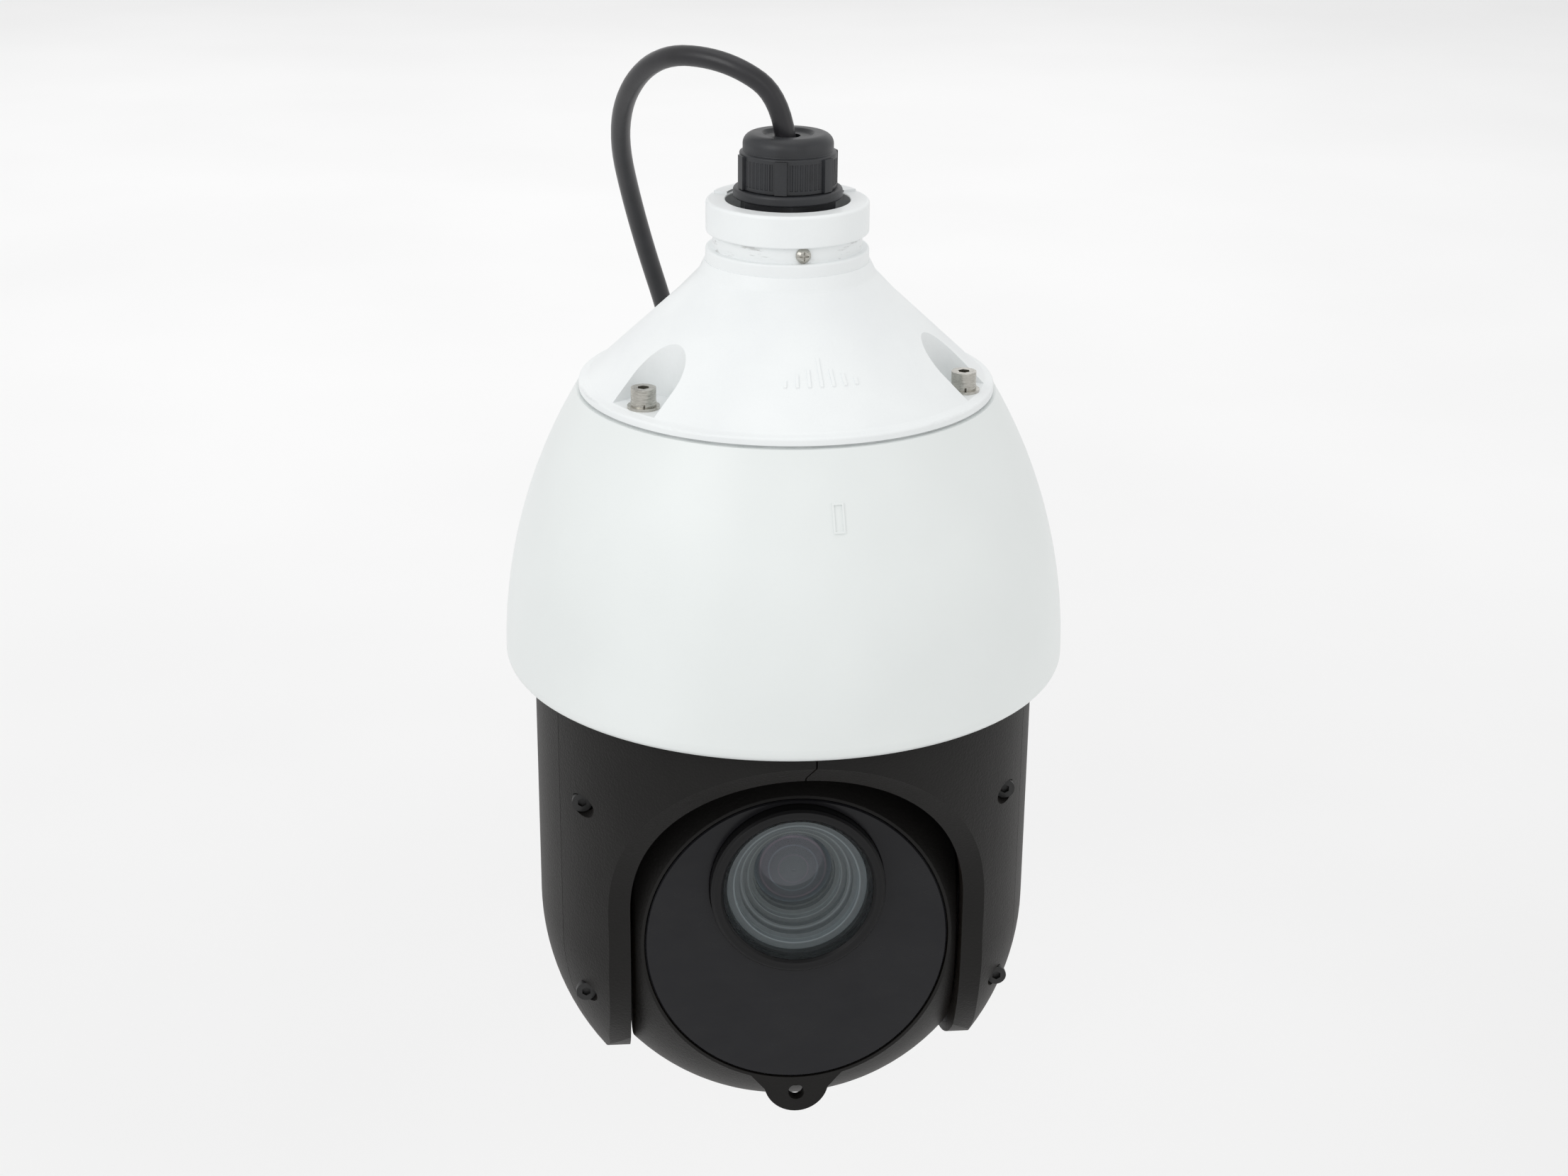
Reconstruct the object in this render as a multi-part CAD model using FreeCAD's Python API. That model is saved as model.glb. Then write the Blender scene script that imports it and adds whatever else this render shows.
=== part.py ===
import FreeCAD, Part
import math
import os

# Outdoor pan and tilt dome camera, millimetres.
# Origin: centre of the mounting collar's top face. +Z up, the yoke's open front faces -Y,
# the pan axis is Z and the tilt axis lies along X.

V = FreeCAD.Vector

# ---------------------------------------------------------------- driving dimensions
fit = 0.05                  # radial clearance of a running fit
gap = 0.4                   # space kept between pieces that move past each other
seat_gap = 0.1              # space round a piece that is set into another

# mounting collar
collar_r = 23.0
collar_bore_r = collar_r - 5.5
flange_h = 9.0
groove_r = collar_r - 1.9
groove_h = 4.4
lower_ring_h = 3.6
spigot_r = collar_r - 2.6
spigot_h = 13.0
rim_step_h = 0.65
rim_step_angle = 135.0
web_top = -10.0
web_h = 4.0
index_angle = 6.5           # azimuth of the cap's alignment marks, from the yoke's front
neck_screw_r = 1.2
collar_base_z = -flange_h - groove_h - lower_ring_h
collar_nut_h = 5.5
collar_nut_wall = 4.0

# cap
cap_h = 36.4
cap_wall = 3.0
cap_neck_r = collar_r + 2.2
cap_cone_top = collar_base_z - 10.0
cap_cone_top_r = cap_neck_r + 6.1
cap_edge_r = 59.4
cap_edge_z = collar_base_z - cap_h
cap_lip_h = 1.9
pocket_r = 9.0
pocket_centre_r = cap_edge_r - 10.4
pocket_floor_z = cap_edge_z + 2.8
cap_screw_circle_r = cap_edge_r - 7.0
cap_screw_angles = (60.0, 180.0, 300.0)
cap_screw_r = 2.0
bar_heights = (1.6, 2.8, 4.0, 6.6, 4.0, 2.8, 1.6)
bar_w = 0.8
bar_pitch = 4.1
bar_start_r = cap_cone_top_r + 15.5

# dome cover
seam = 0.8
dome_h = 83.1
dome_wall = 2.7
dome_top_r = cap_edge_r + 0.8
dome_max_r = 82.25
dome_arc_r = 154.0
rim_z = cap_edge_z - dome_h
dome_max_z = rim_z + 4.0
rim_h = 2.4
rim_round = 4.5
dust_ring_h = 2.5

# pan drive
plate_z = cap_edge_z - 4.6
plate_h = 2.5
plate_r = cap_edge_r - 4.4
post_circle_r = cap_edge_r - 14.4
post_r = 3.5
post_screw_r = 1.25
hub_bore_r = 9.5
hub_r = 12.0
hub_flange_r = 28.0
hub_flange_h = 4.0
hub_screw_circle_r = 23.0
hub_screw_r = 1.3
pan_race_gap_r = 16.2
pan_ball_r = 1.6
pan_race_h = 6.0
pan_bearing_z = (plate_z - 8.0, plate_z - 22.0)
pan_outer_race_r = 20.5
housing_wall = 3.0
housing_lip = 1.6
belt_pitch = 3.0
belt_w = 6.0
belt_h = 1.3
belt_seat = 0.1             # the belt's inner face above the pitch circle
cheek_h = 1.0
pan_teeth = 64
pan_motor_teeth = 16
pan_pulley_z = plate_z - 46.0
pan_motor_x = -42.0
pan_motor_r = 16.0
pan_motor_top = plate_z - 6.0
pan_motor_h = 27.0
pan_shaft_r = 2.5
slip_rotor_r = 3.0
slip_flange_h = 2.0

# yoke
yoke_r = dome_max_r - 8.25
yoke_wall = 2.8
rim_inner_r = yoke_r + 3.2
turntable_z = rim_z + 2.5
yoke_top = turntable_z + 6.5
turntable_h = 4.0
cover_split_y = -30.0
cover_screw_angle = 56.0
cover_screw_r = 1.6
cover_screw_l = 16.0
side_wall = 3.0
bevel = 6.3
bevel_depth = 6.0
arch_border = bevel + 3.0
rim_depth = 9.0
joint_w = 0.4               # open line between the two front covers
kink_x = 2.4
kink_z = (turntable_z - 7.0, turntable_z - 12.0)

# camera module, drawn level about its own tilt centre and then turned up to its rest angle
rest_tilt = 3.7
ball_r = yoke_r - yoke_wall - 3.9
ball_wall = 2.6
face_cut = 17.6             # depth of ball that the flat face takes off
face_y = face_cut - ball_r
face_h = 1.9
face_gap = 0.4
face_lip = 0.88
face_ledge = 4.0
face_r = math.sqrt(ball_r ** 2 - face_y ** 2) - face_lip - face_gap
ball_w = face_r + 3.2       # half the width over the flat sides
bezel_r = 25.4
bezel_out = 4.7
bezel_seat = 1.6
lens_z = face_r - bezel_r - 1.3
window_r = bezel_r - 3.7
window_sag = 0.9
element_y = face_y + 11.7
element_r = 11.5
element_h = 3.0
barrel_r = 17.0
housing_w = 20.0
housing_shell = 2.5
carriage_l = 6.0
rod_r = 1.5
rod_out = 13.5
zoom_y = element_y + 16.0
zoom_travel = 12.0
zoom_lens_r = 8.5
focus_y = zoom_y + carriage_l + zoom_travel + 8.0
focus_travel = 8.0
focus_lens_r = 7.0
sensor_y = focus_y + carriage_l + focus_travel + 8.0
sensor_h = 1.6
lug_r = 9.6
lug_z = -face_r - 1.9
lug_hole_z = lug_z - 3.4
lug_hole_r = 2.4
lug_h = 4.0
module_screw_x = 30.0
module_screw_z = 42.0
module_screw_y = 30.0
module_screw_r = 1.4
module_screw_l = 40.0
module_seal_h = 0.8
lamp_r = 3.0
lamp_circle_r = 29.0
lamp_l = 3.6
lamp_space = 0.9            # lamp tips to the back of the front plate

# heights that follow from the ball and the turntable
channel_w = ball_w + 1.1    # half the space between the arms
tilt_z = turntable_z - turntable_h - ball_r - 5.7
yoke_ball_z = tilt_z - 2.0  # centre of the rounded underside
arch_z = turntable_z - turntable_h - 0.3 - arch_border - channel_w
arm_round_r = math.sqrt(yoke_r ** 2 - channel_w ** 2) + 0.5
arm_round_z = tilt_z + 6.5
rear_edge_z = tilt_z - 1.0
cover_screw_z = (tilt_z + 45.0, tilt_z - 17.0)
yoke_far = yoke_r + 16.0    # beyond everything, for cuts that run out of the yoke
yoke_floor_z = yoke_ball_z - yoke_r - 33.0

# tilt drive
shaft_r = 5.0
shaft_collar_r = shaft_r + 1.4
shaft_flange_r = 9.0
tilt_ball_r = 1.4
tilt_outer_race_r = 11.5
tilt_race_h = 5.0
bearing_seat_x = channel_w + side_wall - gap
bearing_boss_x = bearing_seat_x + tilt_race_h + 1.0
tilt_teeth = 36
tilt_motor_teeth = 14
tilt_motor_z = tilt_z + 45.0
tilt_motor_r = 16.5
tilt_motor_h = 6.6
tilt_motor_shaft_r = 2.0
tilt_motor_face_x = channel_w + side_wall + seat_gap + tilt_motor_h
tilt_pulley_x = tilt_motor_face_x + 0.5 + cheek_h + gap + belt_w / 2

# cable gland and cable
cable_r = 2.9
hex_r = 14.6
gland_thread_r = 11.5
gland_flange_r = 15.35
gland_flange_z = 0.8
gland_flange_h = 2.8
gland_shoulder_z = 6.1
seal_h = 8.0
nut_r = 14.4
nut_top = 13.3
nut_dome_r = 12.7
nut_bore_r = 8.1
gland_top = 18.6
nut_panels = 6
grooves_per_panel = 10
plain_grooves = 3
rib_w = 3.4                 # flat upright between two grooved panels
rib_rise = 0.8
nut_angle = 40.5
coil_turn_r = 32.0
coil_bundle = 7.0
tie_wall = 1.2
tie_w = 6.0
cable_back_y = dome_max_r + 14.75
coil_centre = (12.0, cable_back_y, turntable_z - 18.0)
cable_route = [
    (0.0, 0.0, gland_shoulder_z),
    (0.0, 0.0, gland_top + 8.1),
    (-16.6, 2.6, gland_top + 19.9),
    (-37.0, 19.0, gland_top + 18.9),
    (-47.0, cable_back_y - 50.0, 14.0),
    (-40.0, cable_back_y - 24.0, -22.0),
    (-27.0, cable_back_y - 8.0, turntable_z + 68.0),
    (-20.5, cable_back_y - 3.0, turntable_z + 26.0),
    (-20.0, cable_back_y, turntable_z - 8.0),
]
tail_route = [
    (-20.0, cable_back_y + 1.0, turntable_z - 24.0),
    (-20.5, cable_back_y + 1.5, turntable_z - 48.0),
    (-18.0, cable_back_y + 1.0, turntable_z - 73.0),
]
socket_w = 15.0
socket_h = 13.0
socket_l = 34.0
sleeve_l = 14.0
port_w = 11.8
port_h = 8.4
port_depth = 12.0


# ---------------------------------------------------------------- shape helpers
def rounded(points, place):
    """Closed face from corners (a, b, radius); place turns (a, b) into a vector."""
    edges = []
    last = None
    first = None
    count = len(points)
    for i in range(count):
        before = V(*points[i - 1][:2], 0)
        corner = V(*points[i][:2], 0)
        after = V(*points[(i + 1) % count][:2], 0)
        radius = points[i][2] if len(points[i]) > 2 else 0.0
        into = (before - corner).normalize()
        out = (after - corner).normalize()
        start = corner
        end = corner
        if radius:
            half = into.getAngle(out) / 2
            start = corner + into * (radius / math.tan(half))
            end = corner + out * (radius / math.tan(half))
            middle = corner + (into + out).normalize() * (radius / math.sin(half) - radius)
        if last is not None and (start - last).Length > 1e-6:
            edges.append(Part.makeLine(place(last), place(start)))
        if radius:
            edges.append(Part.Arc(place(start), place(middle), place(end)).toShape())
        if first is None:
            first = start
        last = end
    if (first - last).Length > 1e-6:
        edges.append(Part.makeLine(place(last), place(first)))
    return Part.Face(Part.Wire(edges))


def lathe(points, angle=360.0):
    """Solid turned about Z from corners (radius, z, corner radius)."""
    face = rounded(points, lambda p: V(p.x, 0, p.y))
    return face.revolve(V(0, 0, 0), V(0, 0, 1), angle)


def prism_y(points, y0, y1):
    """Outline of (x, z, corner radius) carried from y0 to y1."""
    return rounded(points, lambda p: V(p.x, y0, p.y)).extrude(V(0, y1 - y0, 0))


def prism_z(points, z0, z1):
    return rounded(points, lambda p: V(p.x, p.y, z0)).extrude(V(0, 0, z1 - z0))


def box(x0, x1, y0, y1, z0, z1):
    return Part.makeBox(x1 - x0, y1 - y0, z1 - z0, V(x0, y0, z0))


def rod(radius, start, end):
    """Cylinder between two points."""
    run = V(*end) - V(*start)
    return Part.makeCylinder(radius, run.Length, V(*start), run)


def ring(inner, outer, z0, z1, x=0.0, y=0.0):
    return rod(outer, (x, y, z0), (x, y, z1)).cut(rod(inner, (x, y, z0 - 1), (x, y, z1 + 1)))


def ring_y(inner, outer, y0, y1, x, z):
    return rod(outer, (x, y0, z), (x, y1, z)).cut(rod(inner, (x, y0 - 1, z), (x, y1 + 1, z)))


def turned(shape, angle, axis=V(0, 0, 1), centre=V(0, 0, 0)):
    copy = shape.copy()
    copy.rotate(centre, axis, angle)
    return copy


def moved(shape, x, y, z):
    copy = shape.copy()
    copy.translate(V(x, y, z))
    return copy


def around(radius, angle):
    """Point on a circle; the angle runs from the front, -Y, towards +X."""
    turn = math.radians(angle)
    return radius * math.sin(turn), -radius * math.cos(turn)


def joined(shapes):
    whole = shapes[0]
    for shape in shapes[1:]:
        whole = whole.fuse(shape)
    return whole.removeSplitter()


def export(name, shape):
    solids = shape if isinstance(shape, list) else [shape]
    out = []
    for solid in solids:
        out += solid.Solids
    group = out[0] if len(out) == 1 else Part.makeCompound(out)
    group.exportStep("parts/%s.step" % name)


def hexagon(across):
    """Corners of a hexagon with a given width over its flats."""
    reach = across / math.sqrt(3)
    return [around(reach, 60 * k) for k in range(6)]


def four_places(radius, start):
    """Four even places on a circle, the first at the angle start."""
    return [around(radius, start + 90 * k) for k in range(4)]


def loop(r1, r2, reach, z0, z1):
    """Solid round two circles, the first at the origin and the second at x = reach."""
    lean = math.acos((r1 - r2) / reach)
    corners = [
        (r1 * math.cos(lean), r1 * math.sin(lean)),
        (reach + r2 * math.cos(lean), r2 * math.sin(lean)),
        (reach + r2 * math.cos(lean), -r2 * math.sin(lean)),
        (r1 * math.cos(lean), -r1 * math.sin(lean)),
    ]
    return joined([
        prism_z(corners, z0, z1),
        rod(r1, (0, 0, z0), (0, 0, z1)),
        rod(r2, (reach, 0, z0), (reach, 0, z1)),
    ])


def pitch_radius(teeth):
    return teeth * belt_pitch / (2 * math.pi)


def pulley(teeth, bore):
    """Toothed belt pulley about Z, its belt centred on z = 0."""
    outer = pitch_radius(teeth) - 0.25
    half = belt_w / 2 + gap
    grooves = []
    for k in range(teeth):
        x, y = around(outer + 0.2, 360.0 * k / teeth)
        grooves.append(rod(0.75, (x, y, -half), (x, y, half)))
    body = rod(outer, (0, 0, -half), (0, 0, half)).cut(Part.makeCompound(grooves))
    cheeks = [rod(outer + belt_h + gap, (0, 0, s * half), (0, 0, s * (half + cheek_h))) for s in (-1, 1)]
    return joined([body] + cheeks).cut(rod(bore, (0, 0, -belt_w), (0, 0, belt_w)))


def belt(big, small, reach):
    """Closed belt round two pulleys, the second at x = reach."""
    inner = belt_seat
    outer = inner + belt_h
    r1 = pitch_radius(big)
    r2 = pitch_radius(small)
    outside = loop(r1 + outer, r2 + outer, reach, -belt_w / 2, belt_w / 2)
    return outside.cut(loop(r1 + inner, r2 + inner, reach, -belt_w, belt_w))


def ball_ring(count, radius, ball, z=0.0):
    balls = []
    for k in range(count):
        x, y = around(radius, 360.0 * k / count)
        balls.append(Part.makeSphere(ball, V(x, y, z)))
    return balls


def race(inner, outer, track_r, ball, height, z=0.0):
    """Bearing race with the ball track turned into it."""
    track = Part.makeTorus(track_r, ball + fit, V(0, 0, z))
    return ring(inner, outer, z - height / 2, z + height / 2).cut(track)


def screw(head_r, head_h, shank_r, length, socket_r):
    """Socket screw, head up, its underside on z = 0."""
    head = rod(head_r, (0, 0, 0), (0, 0, head_h)).fuse(rod(shank_r, (0, 0, -length), (0, 0, 0)))
    socket = prism_z(hexagon(socket_r * 2), head_h * 0.45, head_h + 1)
    return head.cut(socket)


# ---------------------------------------------------------------- fixed head
def collar():
    top = -flange_h
    low = top - groove_h
    base = collar_base_z
    body = lathe([
        (collar_bore_r, 0.0, 0.4), (collar_r, 0.0, 0.9), (collar_r, top, 0.6), (groove_r, top, 0.3),
        (groove_r, low, 0.3), (collar_r + 0.1, low, 0.6), (collar_r + 0.1, base), (spigot_r, base),
        (spigot_r, base - spigot_h), (collar_bore_r, base - spigot_h),
    ])
    web = ring(gland_thread_r, collar_bore_r, web_top - web_h, web_top)
    step = lathe([
        (collar_bore_r + 0.4, -0.2), (collar_r - 1.2, -0.2), (collar_r - 1.2, rim_step_h),
        (collar_bore_r + 0.4, rim_step_h),
    ], rim_step_angle)
    step = turned(step, 90 - rim_step_angle / 2)
    middle = top - groove_h / 2
    start = around(collar_bore_r - 1, index_angle)
    end = around(collar_r + 1, index_angle)
    return joined([body, web, step]).cut(rod(neck_screw_r + fit, (*start, middle), (*end, middle)))


def neck_screw():
    head = lathe([(0, 0), (2.1, 0), (2.1, 0.6, 0.3), (1.2, 1.5, 0.5), (0, 1.5)])
    shank = rod(neck_screw_r, (0, 0, -3.4), (0, 0, 0))
    cross = box(-1.3, 1.3, -0.22, 0.22, 0.7, 2).fuse(box(-0.22, 0.22, -1.3, 1.3, 0.7, 2))
    shape = turned(head.fuse(shank).cut(cross), 90, V(1, 0, 0))
    shape = turned(shape, index_angle)
    x, y = around(groove_r, index_angle)
    return moved(shape, x, y, -flange_h - groove_h / 2)


def cap_solid(inset):
    """The cap's outer form, or the space inside its wall."""
    top = collar_base_z
    slope = math.atan2(cap_edge_r - 2.4 - cap_cone_top_r, cap_cone_top - cap_edge_z - cap_lip_h - 0.7)
    drop = inset / math.sin(slope)
    return lathe([
        (0, top - inset), (cap_neck_r - 1.8, top - inset), (cap_neck_r, top - 3.6 - drop, 3.0),
        (cap_cone_top_r, cap_cone_top - drop, 8.0), (cap_edge_r - 2.4, cap_edge_z + cap_lip_h + 0.7 - drop, 2.0),
        (cap_edge_r - inset, cap_edge_z + cap_lip_h - drop, 0.8), (cap_edge_r - inset, cap_edge_z - inset * 0.01),
        (0, cap_edge_z - inset * 0.01),
    ])


def pocket(radius, z0, z1):
    """Slot open to the cap's edge, as high as z0 to z1."""
    head = rod(radius, (0, -pocket_centre_r, z0), (0, -pocket_centre_r, z1))
    return head.fuse(box(-radius, radius, -cap_edge_r - 3, -pocket_centre_r, z0, z1))


def cap():
    outer = cap_solid(0.0)
    shell = outer.cut(cap_solid(cap_wall))
    adds = []
    cuts = []
    for angle in cap_screw_angles:
        adds.append(turned(pocket(pocket_r + cap_wall, cap_edge_z, 0.0), index_angle + angle))
        cuts.append(turned(pocket(pocket_r, pocket_floor_z, 0.0), index_angle + angle))
        x, y = around(cap_screw_circle_r, index_angle + angle)
        cuts.append(rod(cap_screw_r + 0.2, (x, y, cap_edge_z - 1), (x, y, 0)))
    for x, y in four_places(post_circle_r, index_angle + 45):
        adds.append(rod(post_r + 0.5, (x, y, cap_edge_z), (x, y, 0)))
        cuts.append(rod(post_screw_r + fit, (x, y, cap_edge_z - 1), (x, y, cap_edge_z + 7)))
    shell = shell.fuse(joined(adds).common(outer))
    shell = shell.fuse(marks(outer))
    cuts.append(rod(spigot_r, (0, 0, cap_edge_z), (0, 0, 0)))
    return shell.cut(Part.makeCompound(cuts)).removeSplitter()


def marks(outer):
    """Raised alignment bars on the cap's shoulder, the tallest at the index direction."""
    low = cap_edge_z + 4
    proud = moved(outer, 0, 0, 0.5).cut(rod(cap_edge_r + 1, (0, 0, cap_edge_z - 5), (0, 0, low)))
    bars = []
    middle = (len(bar_heights) - 1) / 2
    for k, height in enumerate(bar_heights):
        turn = index_angle + (k - middle) * bar_pitch
        bar = box(-bar_w / 2, bar_w / 2, -bar_start_r, -bar_start_r + height, cap_edge_z, collar_base_z)
        bars.append(turned(bar, turn).common(proud))
    return joined(bars)


def cap_fastenings():
    """Socket screws, each over a split spring washer and a flat washer."""
    screws = []
    washers = []
    for angle in cap_screw_angles:
        x, y = around(cap_screw_circle_r, index_angle + angle)
        flat = pocket_floor_z + 0.8
        top = flat + 1.0
        washers.append(ring(cap_screw_r + 0.2, 4.5, pocket_floor_z, flat, x, y))
        spring = ring(cap_screw_r + 0.2, 3.6, flat, top, x, y)
        washers.append(spring.cut(box(x - 0.3, x + 0.3, y - 5, y, flat - 1, top + 1)))
        screws.append(moved(screw(3.5, 4.0, cap_screw_r, 11.0, 1.5), x, y, top))
    return screws, washers


def collar_nut():
    """Slotted ring nut that clamps the cap to the collar from inside."""
    top = collar_base_z - cap_wall - 4.0
    outer = spigot_r + collar_nut_wall
    body = ring(spigot_r, outer, top - collar_nut_h, top)
    slot = box(-2, 2, -outer - 1, -spigot_r - 2, top - collar_nut_h - 1, top - 3.5)
    slots = [turned(slot, 90 * k) for k in range(4)]
    return body.cut(Part.makeCompound(slots))


def dome_centre():
    """Centre of the dome's meridian arc, from its widest point and its radius."""
    a = V(dome_top_r, cap_edge_z - seam, 0)
    b = V(dome_max_r, dome_max_z, 0)
    middle = (a + b) * 0.5
    along = (b - a).normalize()
    across = V(along.y, -along.x, 0)
    if across.x > 0:
        across = across * -1
    return middle + across * math.sqrt(dome_arc_r ** 2 - (b - a).Length ** 2 / 4)


def dome_radius(z, inset=0.0):
    centre = dome_centre()
    return centre.x + math.sqrt((dome_arc_r - inset) ** 2 - (z - centre.y) ** 2)


def dome_solid(inset, z_top, z_low):
    """Solid inside the dome's arc between two heights."""
    z_mid = (z_top + max(z_low, dome_max_z)) / 2
    low = max(z_low, dome_max_z)
    start = V(dome_radius(z_top, inset), 0, z_top)
    end = V(dome_radius(low, inset), 0, low)
    edges = [
        Part.makeLine(V(0, 0, z_top), start),
        Part.Arc(start, V(dome_radius(z_mid, inset), 0, z_mid), end).toShape(),
    ]
    if z_low < low:
        edges.append(Part.makeLine(end, V(end.x, 0, z_low)))
    edges.append(Part.makeLine(V(end.x, 0, z_low), V(0, 0, z_low)))
    edges.append(Part.makeLine(V(0, 0, z_low), V(0, 0, z_top)))
    return Part.Face(Part.Wire(edges)).revolve(V(0, 0, 0), V(0, 0, 1), 360)


def dome_cover():
    top = cap_edge_z - seam
    outer = dome_solid(0.0, top, rim_z)
    low_edges = [e for e in outer.Edges if abs(e.BoundBox.ZMax - rim_z) < 0.01 and e.Length > 100]
    outer = outer.makeFillet(rim_round, low_edges)
    inner = dome_solid(dome_wall, top - 3.0, rim_z + rim_h)
    shell = outer.cut(inner)
    shell = shell.cut(rod(rim_inner_r, (0, 0, rim_z - 1), (0, 0, rim_z + rim_h + 1)))
    shell = shell.cut(rod(plate_r - 4.0, (0, 0, top - 4), (0, 0, top + 1)))
    boss = []
    holes = []
    for angle in cap_screw_angles:
        x, y = around(cap_screw_circle_r, index_angle + angle)
        boss.append(rod(5.5, (x, y, top - 8.0), (x, y, top)))
        holes.append(rod(cap_screw_r, (x, y, top - 9.0), (x, y, top + 1)))
    boss = joined(boss).common(dome_solid(0.5, top, top - 8.0))
    shell = shell.fuse(boss).cut(Part.makeCompound(holes))
    return shell.fuse(outline_mark(outer)).removeSplitter()


def outline_mark(outer):
    """Small raised outline bar on the dome, under the cap's tallest mark."""
    half = 1.6
    line = 0.5
    z1 = cap_edge_z - 13.5
    z0 = z1 - 7.5
    far = -dome_max_r - 5
    frame = box(-half, half, far, -40, z0, z1)
    frame = frame.cut(box(-half + line, half - line, far - 1, -39, z0 + line, z1 - line))
    proud = dome_solid(-0.35, cap_edge_z - seam - 2, dome_max_z)
    return turned(frame, index_angle).common(proud).cut(dome_solid(1.0, cap_edge_z - seam - 1, dome_max_z))


def cap_gasket():
    body = ring(plate_r - 3.5, cap_edge_r - 0.6, cap_edge_z - seam, cap_edge_z)
    for angle in cap_screw_angles:
        x, y = around(cap_screw_circle_r, index_angle + angle)
        body = body.cut(rod(cap_screw_r + 0.2, (x, y, plate_z), (x, y, 0)))
    return body


def chassis_plate():
    """Cast plate under the cap, with its four posts and the cup that holds the pan motor."""
    low = plate_z - plate_h
    body = rod(plate_r, (0, 0, low), (0, 0, plate_z))
    cuts = [rod(hub_bore_r - 0.7, (0, 0, low - 1), (0, 0, plate_z + 1))]
    for angle in cap_screw_angles:
        x, y = around(cap_screw_circle_r, index_angle + angle)
        cuts.append(rod(6.3, (x, y, low - 1), (x, y, plate_z + 1)))
    posts = []
    for x, y in four_places(post_circle_r, index_angle + 45):
        posts.append(rod(post_r, (x, y, plate_z), (x, y, cap_edge_z)))
        cuts.append(rod(post_screw_r + 0.35, (x, y, low - 1), (x, y, cap_edge_z + 1)))
    cup_low = pan_motor_top - 6.0
    cup = rod(pan_motor_r + 1.5, (pan_motor_x, 0, cup_low), (pan_motor_x, 0, low))
    cuts.append(rod(pan_motor_r, (pan_motor_x, 0, cup_low - 1), (pan_motor_x, 0, pan_motor_top)))
    return joined([body, cup] + posts).cut(Part.makeCompound(cuts))


def chassis_screws():
    screws = []
    for x, y in four_places(post_circle_r, index_angle + 45):
        bolt = turned(screw(2.8, 1.8, post_screw_r, 13.0, 1.1), 180, V(1, 0, 0))
        screws.append(moved(bolt, x, y, plate_z - plate_h))
    return screws


def power_board():
    """Round supply board on four spacers, with its capacitors, transformer and relay."""
    z = plate_z + 1.6
    top = z + 1.6
    pieces = [ring(14.0, 38.0, z, top)]
    pieces += [ring(1.2, 2.5, plate_z, z, x, y) for x, y in four_places(33.0, index_angle)]
    for k, size in enumerate((5.0, 4.0, 5.0, 4.0)):
        x, y = around(26.0, index_angle + 30 + 80 * k)
        pieces.append(rod(size, (x, y, top), (x, y, top + 9.0)))
    pieces.append(turned(box(-9, 9, -35, -21, top, top + 8.0), index_angle - 20))
    pieces.append(turned(box(-6, 6, 20, 33, top, top + 6.0), index_angle - 10))
    return pieces


# ---------------------------------------------------------------- cable gland
def gland_body():
    shank_end = web_top - web_h - 9.0
    shank = rod(gland_thread_r, (0, 0, shank_end), (0, 0, web_top))
    grip = prism_z(hexagon(hex_r * math.sqrt(3)), web_top, gland_flange_z)
    grip = grip.common(rod(hex_r, (0, 0, web_top - 1), (0, 0, gland_flange_z)))
    top = gland_flange_z + gland_flange_h
    flange = lathe([
        (0, gland_flange_z), (gland_flange_r, gland_flange_z, 0.5), (gland_flange_r, top, 0.9), (0, top),
    ])
    neck = rod(gland_thread_r, (0, 0, top), (0, 0, nut_top - 3.5))
    body = joined([shank, grip, flange, neck])
    body = body.cut(rod(cable_r + 0.6, (0, 0, shank_end - 1), (0, 0, gland_shoulder_z)))
    return body.cut(rod(nut_bore_r - seat_gap, (0, 0, gland_shoulder_z), (0, 0, gland_top)))


def gland_nut():
    base = gland_flange_z + gland_flange_h + 0.2
    panel_r = nut_r - rib_rise
    body = lathe([
        (0, base), (panel_r, base), (panel_r, nut_top, 0.4), (nut_dome_r, nut_top + 0.4, 0.2),
        (nut_dome_r, gland_top, 3.0), (7.4, gland_top, 0.5), (6.6, gland_top - 0.9, 0.3), (0, gland_top - 0.9),
    ])
    rib = box(-rib_w / 2, rib_w / 2, -nut_r - 1, -nut_r + 3, base, nut_top - 0.3)
    rib = rib.common(rod(nut_r, (0, 0, base), (0, 0, nut_top)))
    middle = 180.0 * (plain_grooves - 1) / nut_panels / grooves_per_panel
    grooves = []
    for k in range(nut_panels):
        start = nut_angle + 360.0 * k / nut_panels
        body = body.fuse(turned(rib, start + middle, V(0, 0, 1)))
        for j in range(plain_grooves, grooves_per_panel):
            x, y = around(panel_r + 0.2, start + 360.0 * j / nut_panels / grooves_per_panel)
            grooves.append(rod(0.5, (x, y, base + 1.0), (x, y, nut_top - 1.2)))
    body = body.cut(rod(gland_thread_r + fit, (0, 0, base - 1), (0, 0, nut_top - 3.0)))
    body = body.cut(rod(nut_bore_r, (0, 0, base), (0, 0, gland_top - 2.0)))
    body = body.cut(rod(cable_r + 0.5, (0, 0, base), (0, 0, gland_top + 1)))
    return body.cut(Part.makeCompound(grooves))


def gland_seal():
    """Rubber sleeve squeezed round the cable."""
    outer = nut_bore_r - 2 * seat_gap
    top = gland_shoulder_z + seal_h
    return lathe([
        (cable_r, gland_shoulder_z), (outer, gland_shoulder_z), (outer, top - 2.0), (outer - 1.3, top),
        (cable_r, top),
    ])


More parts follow.
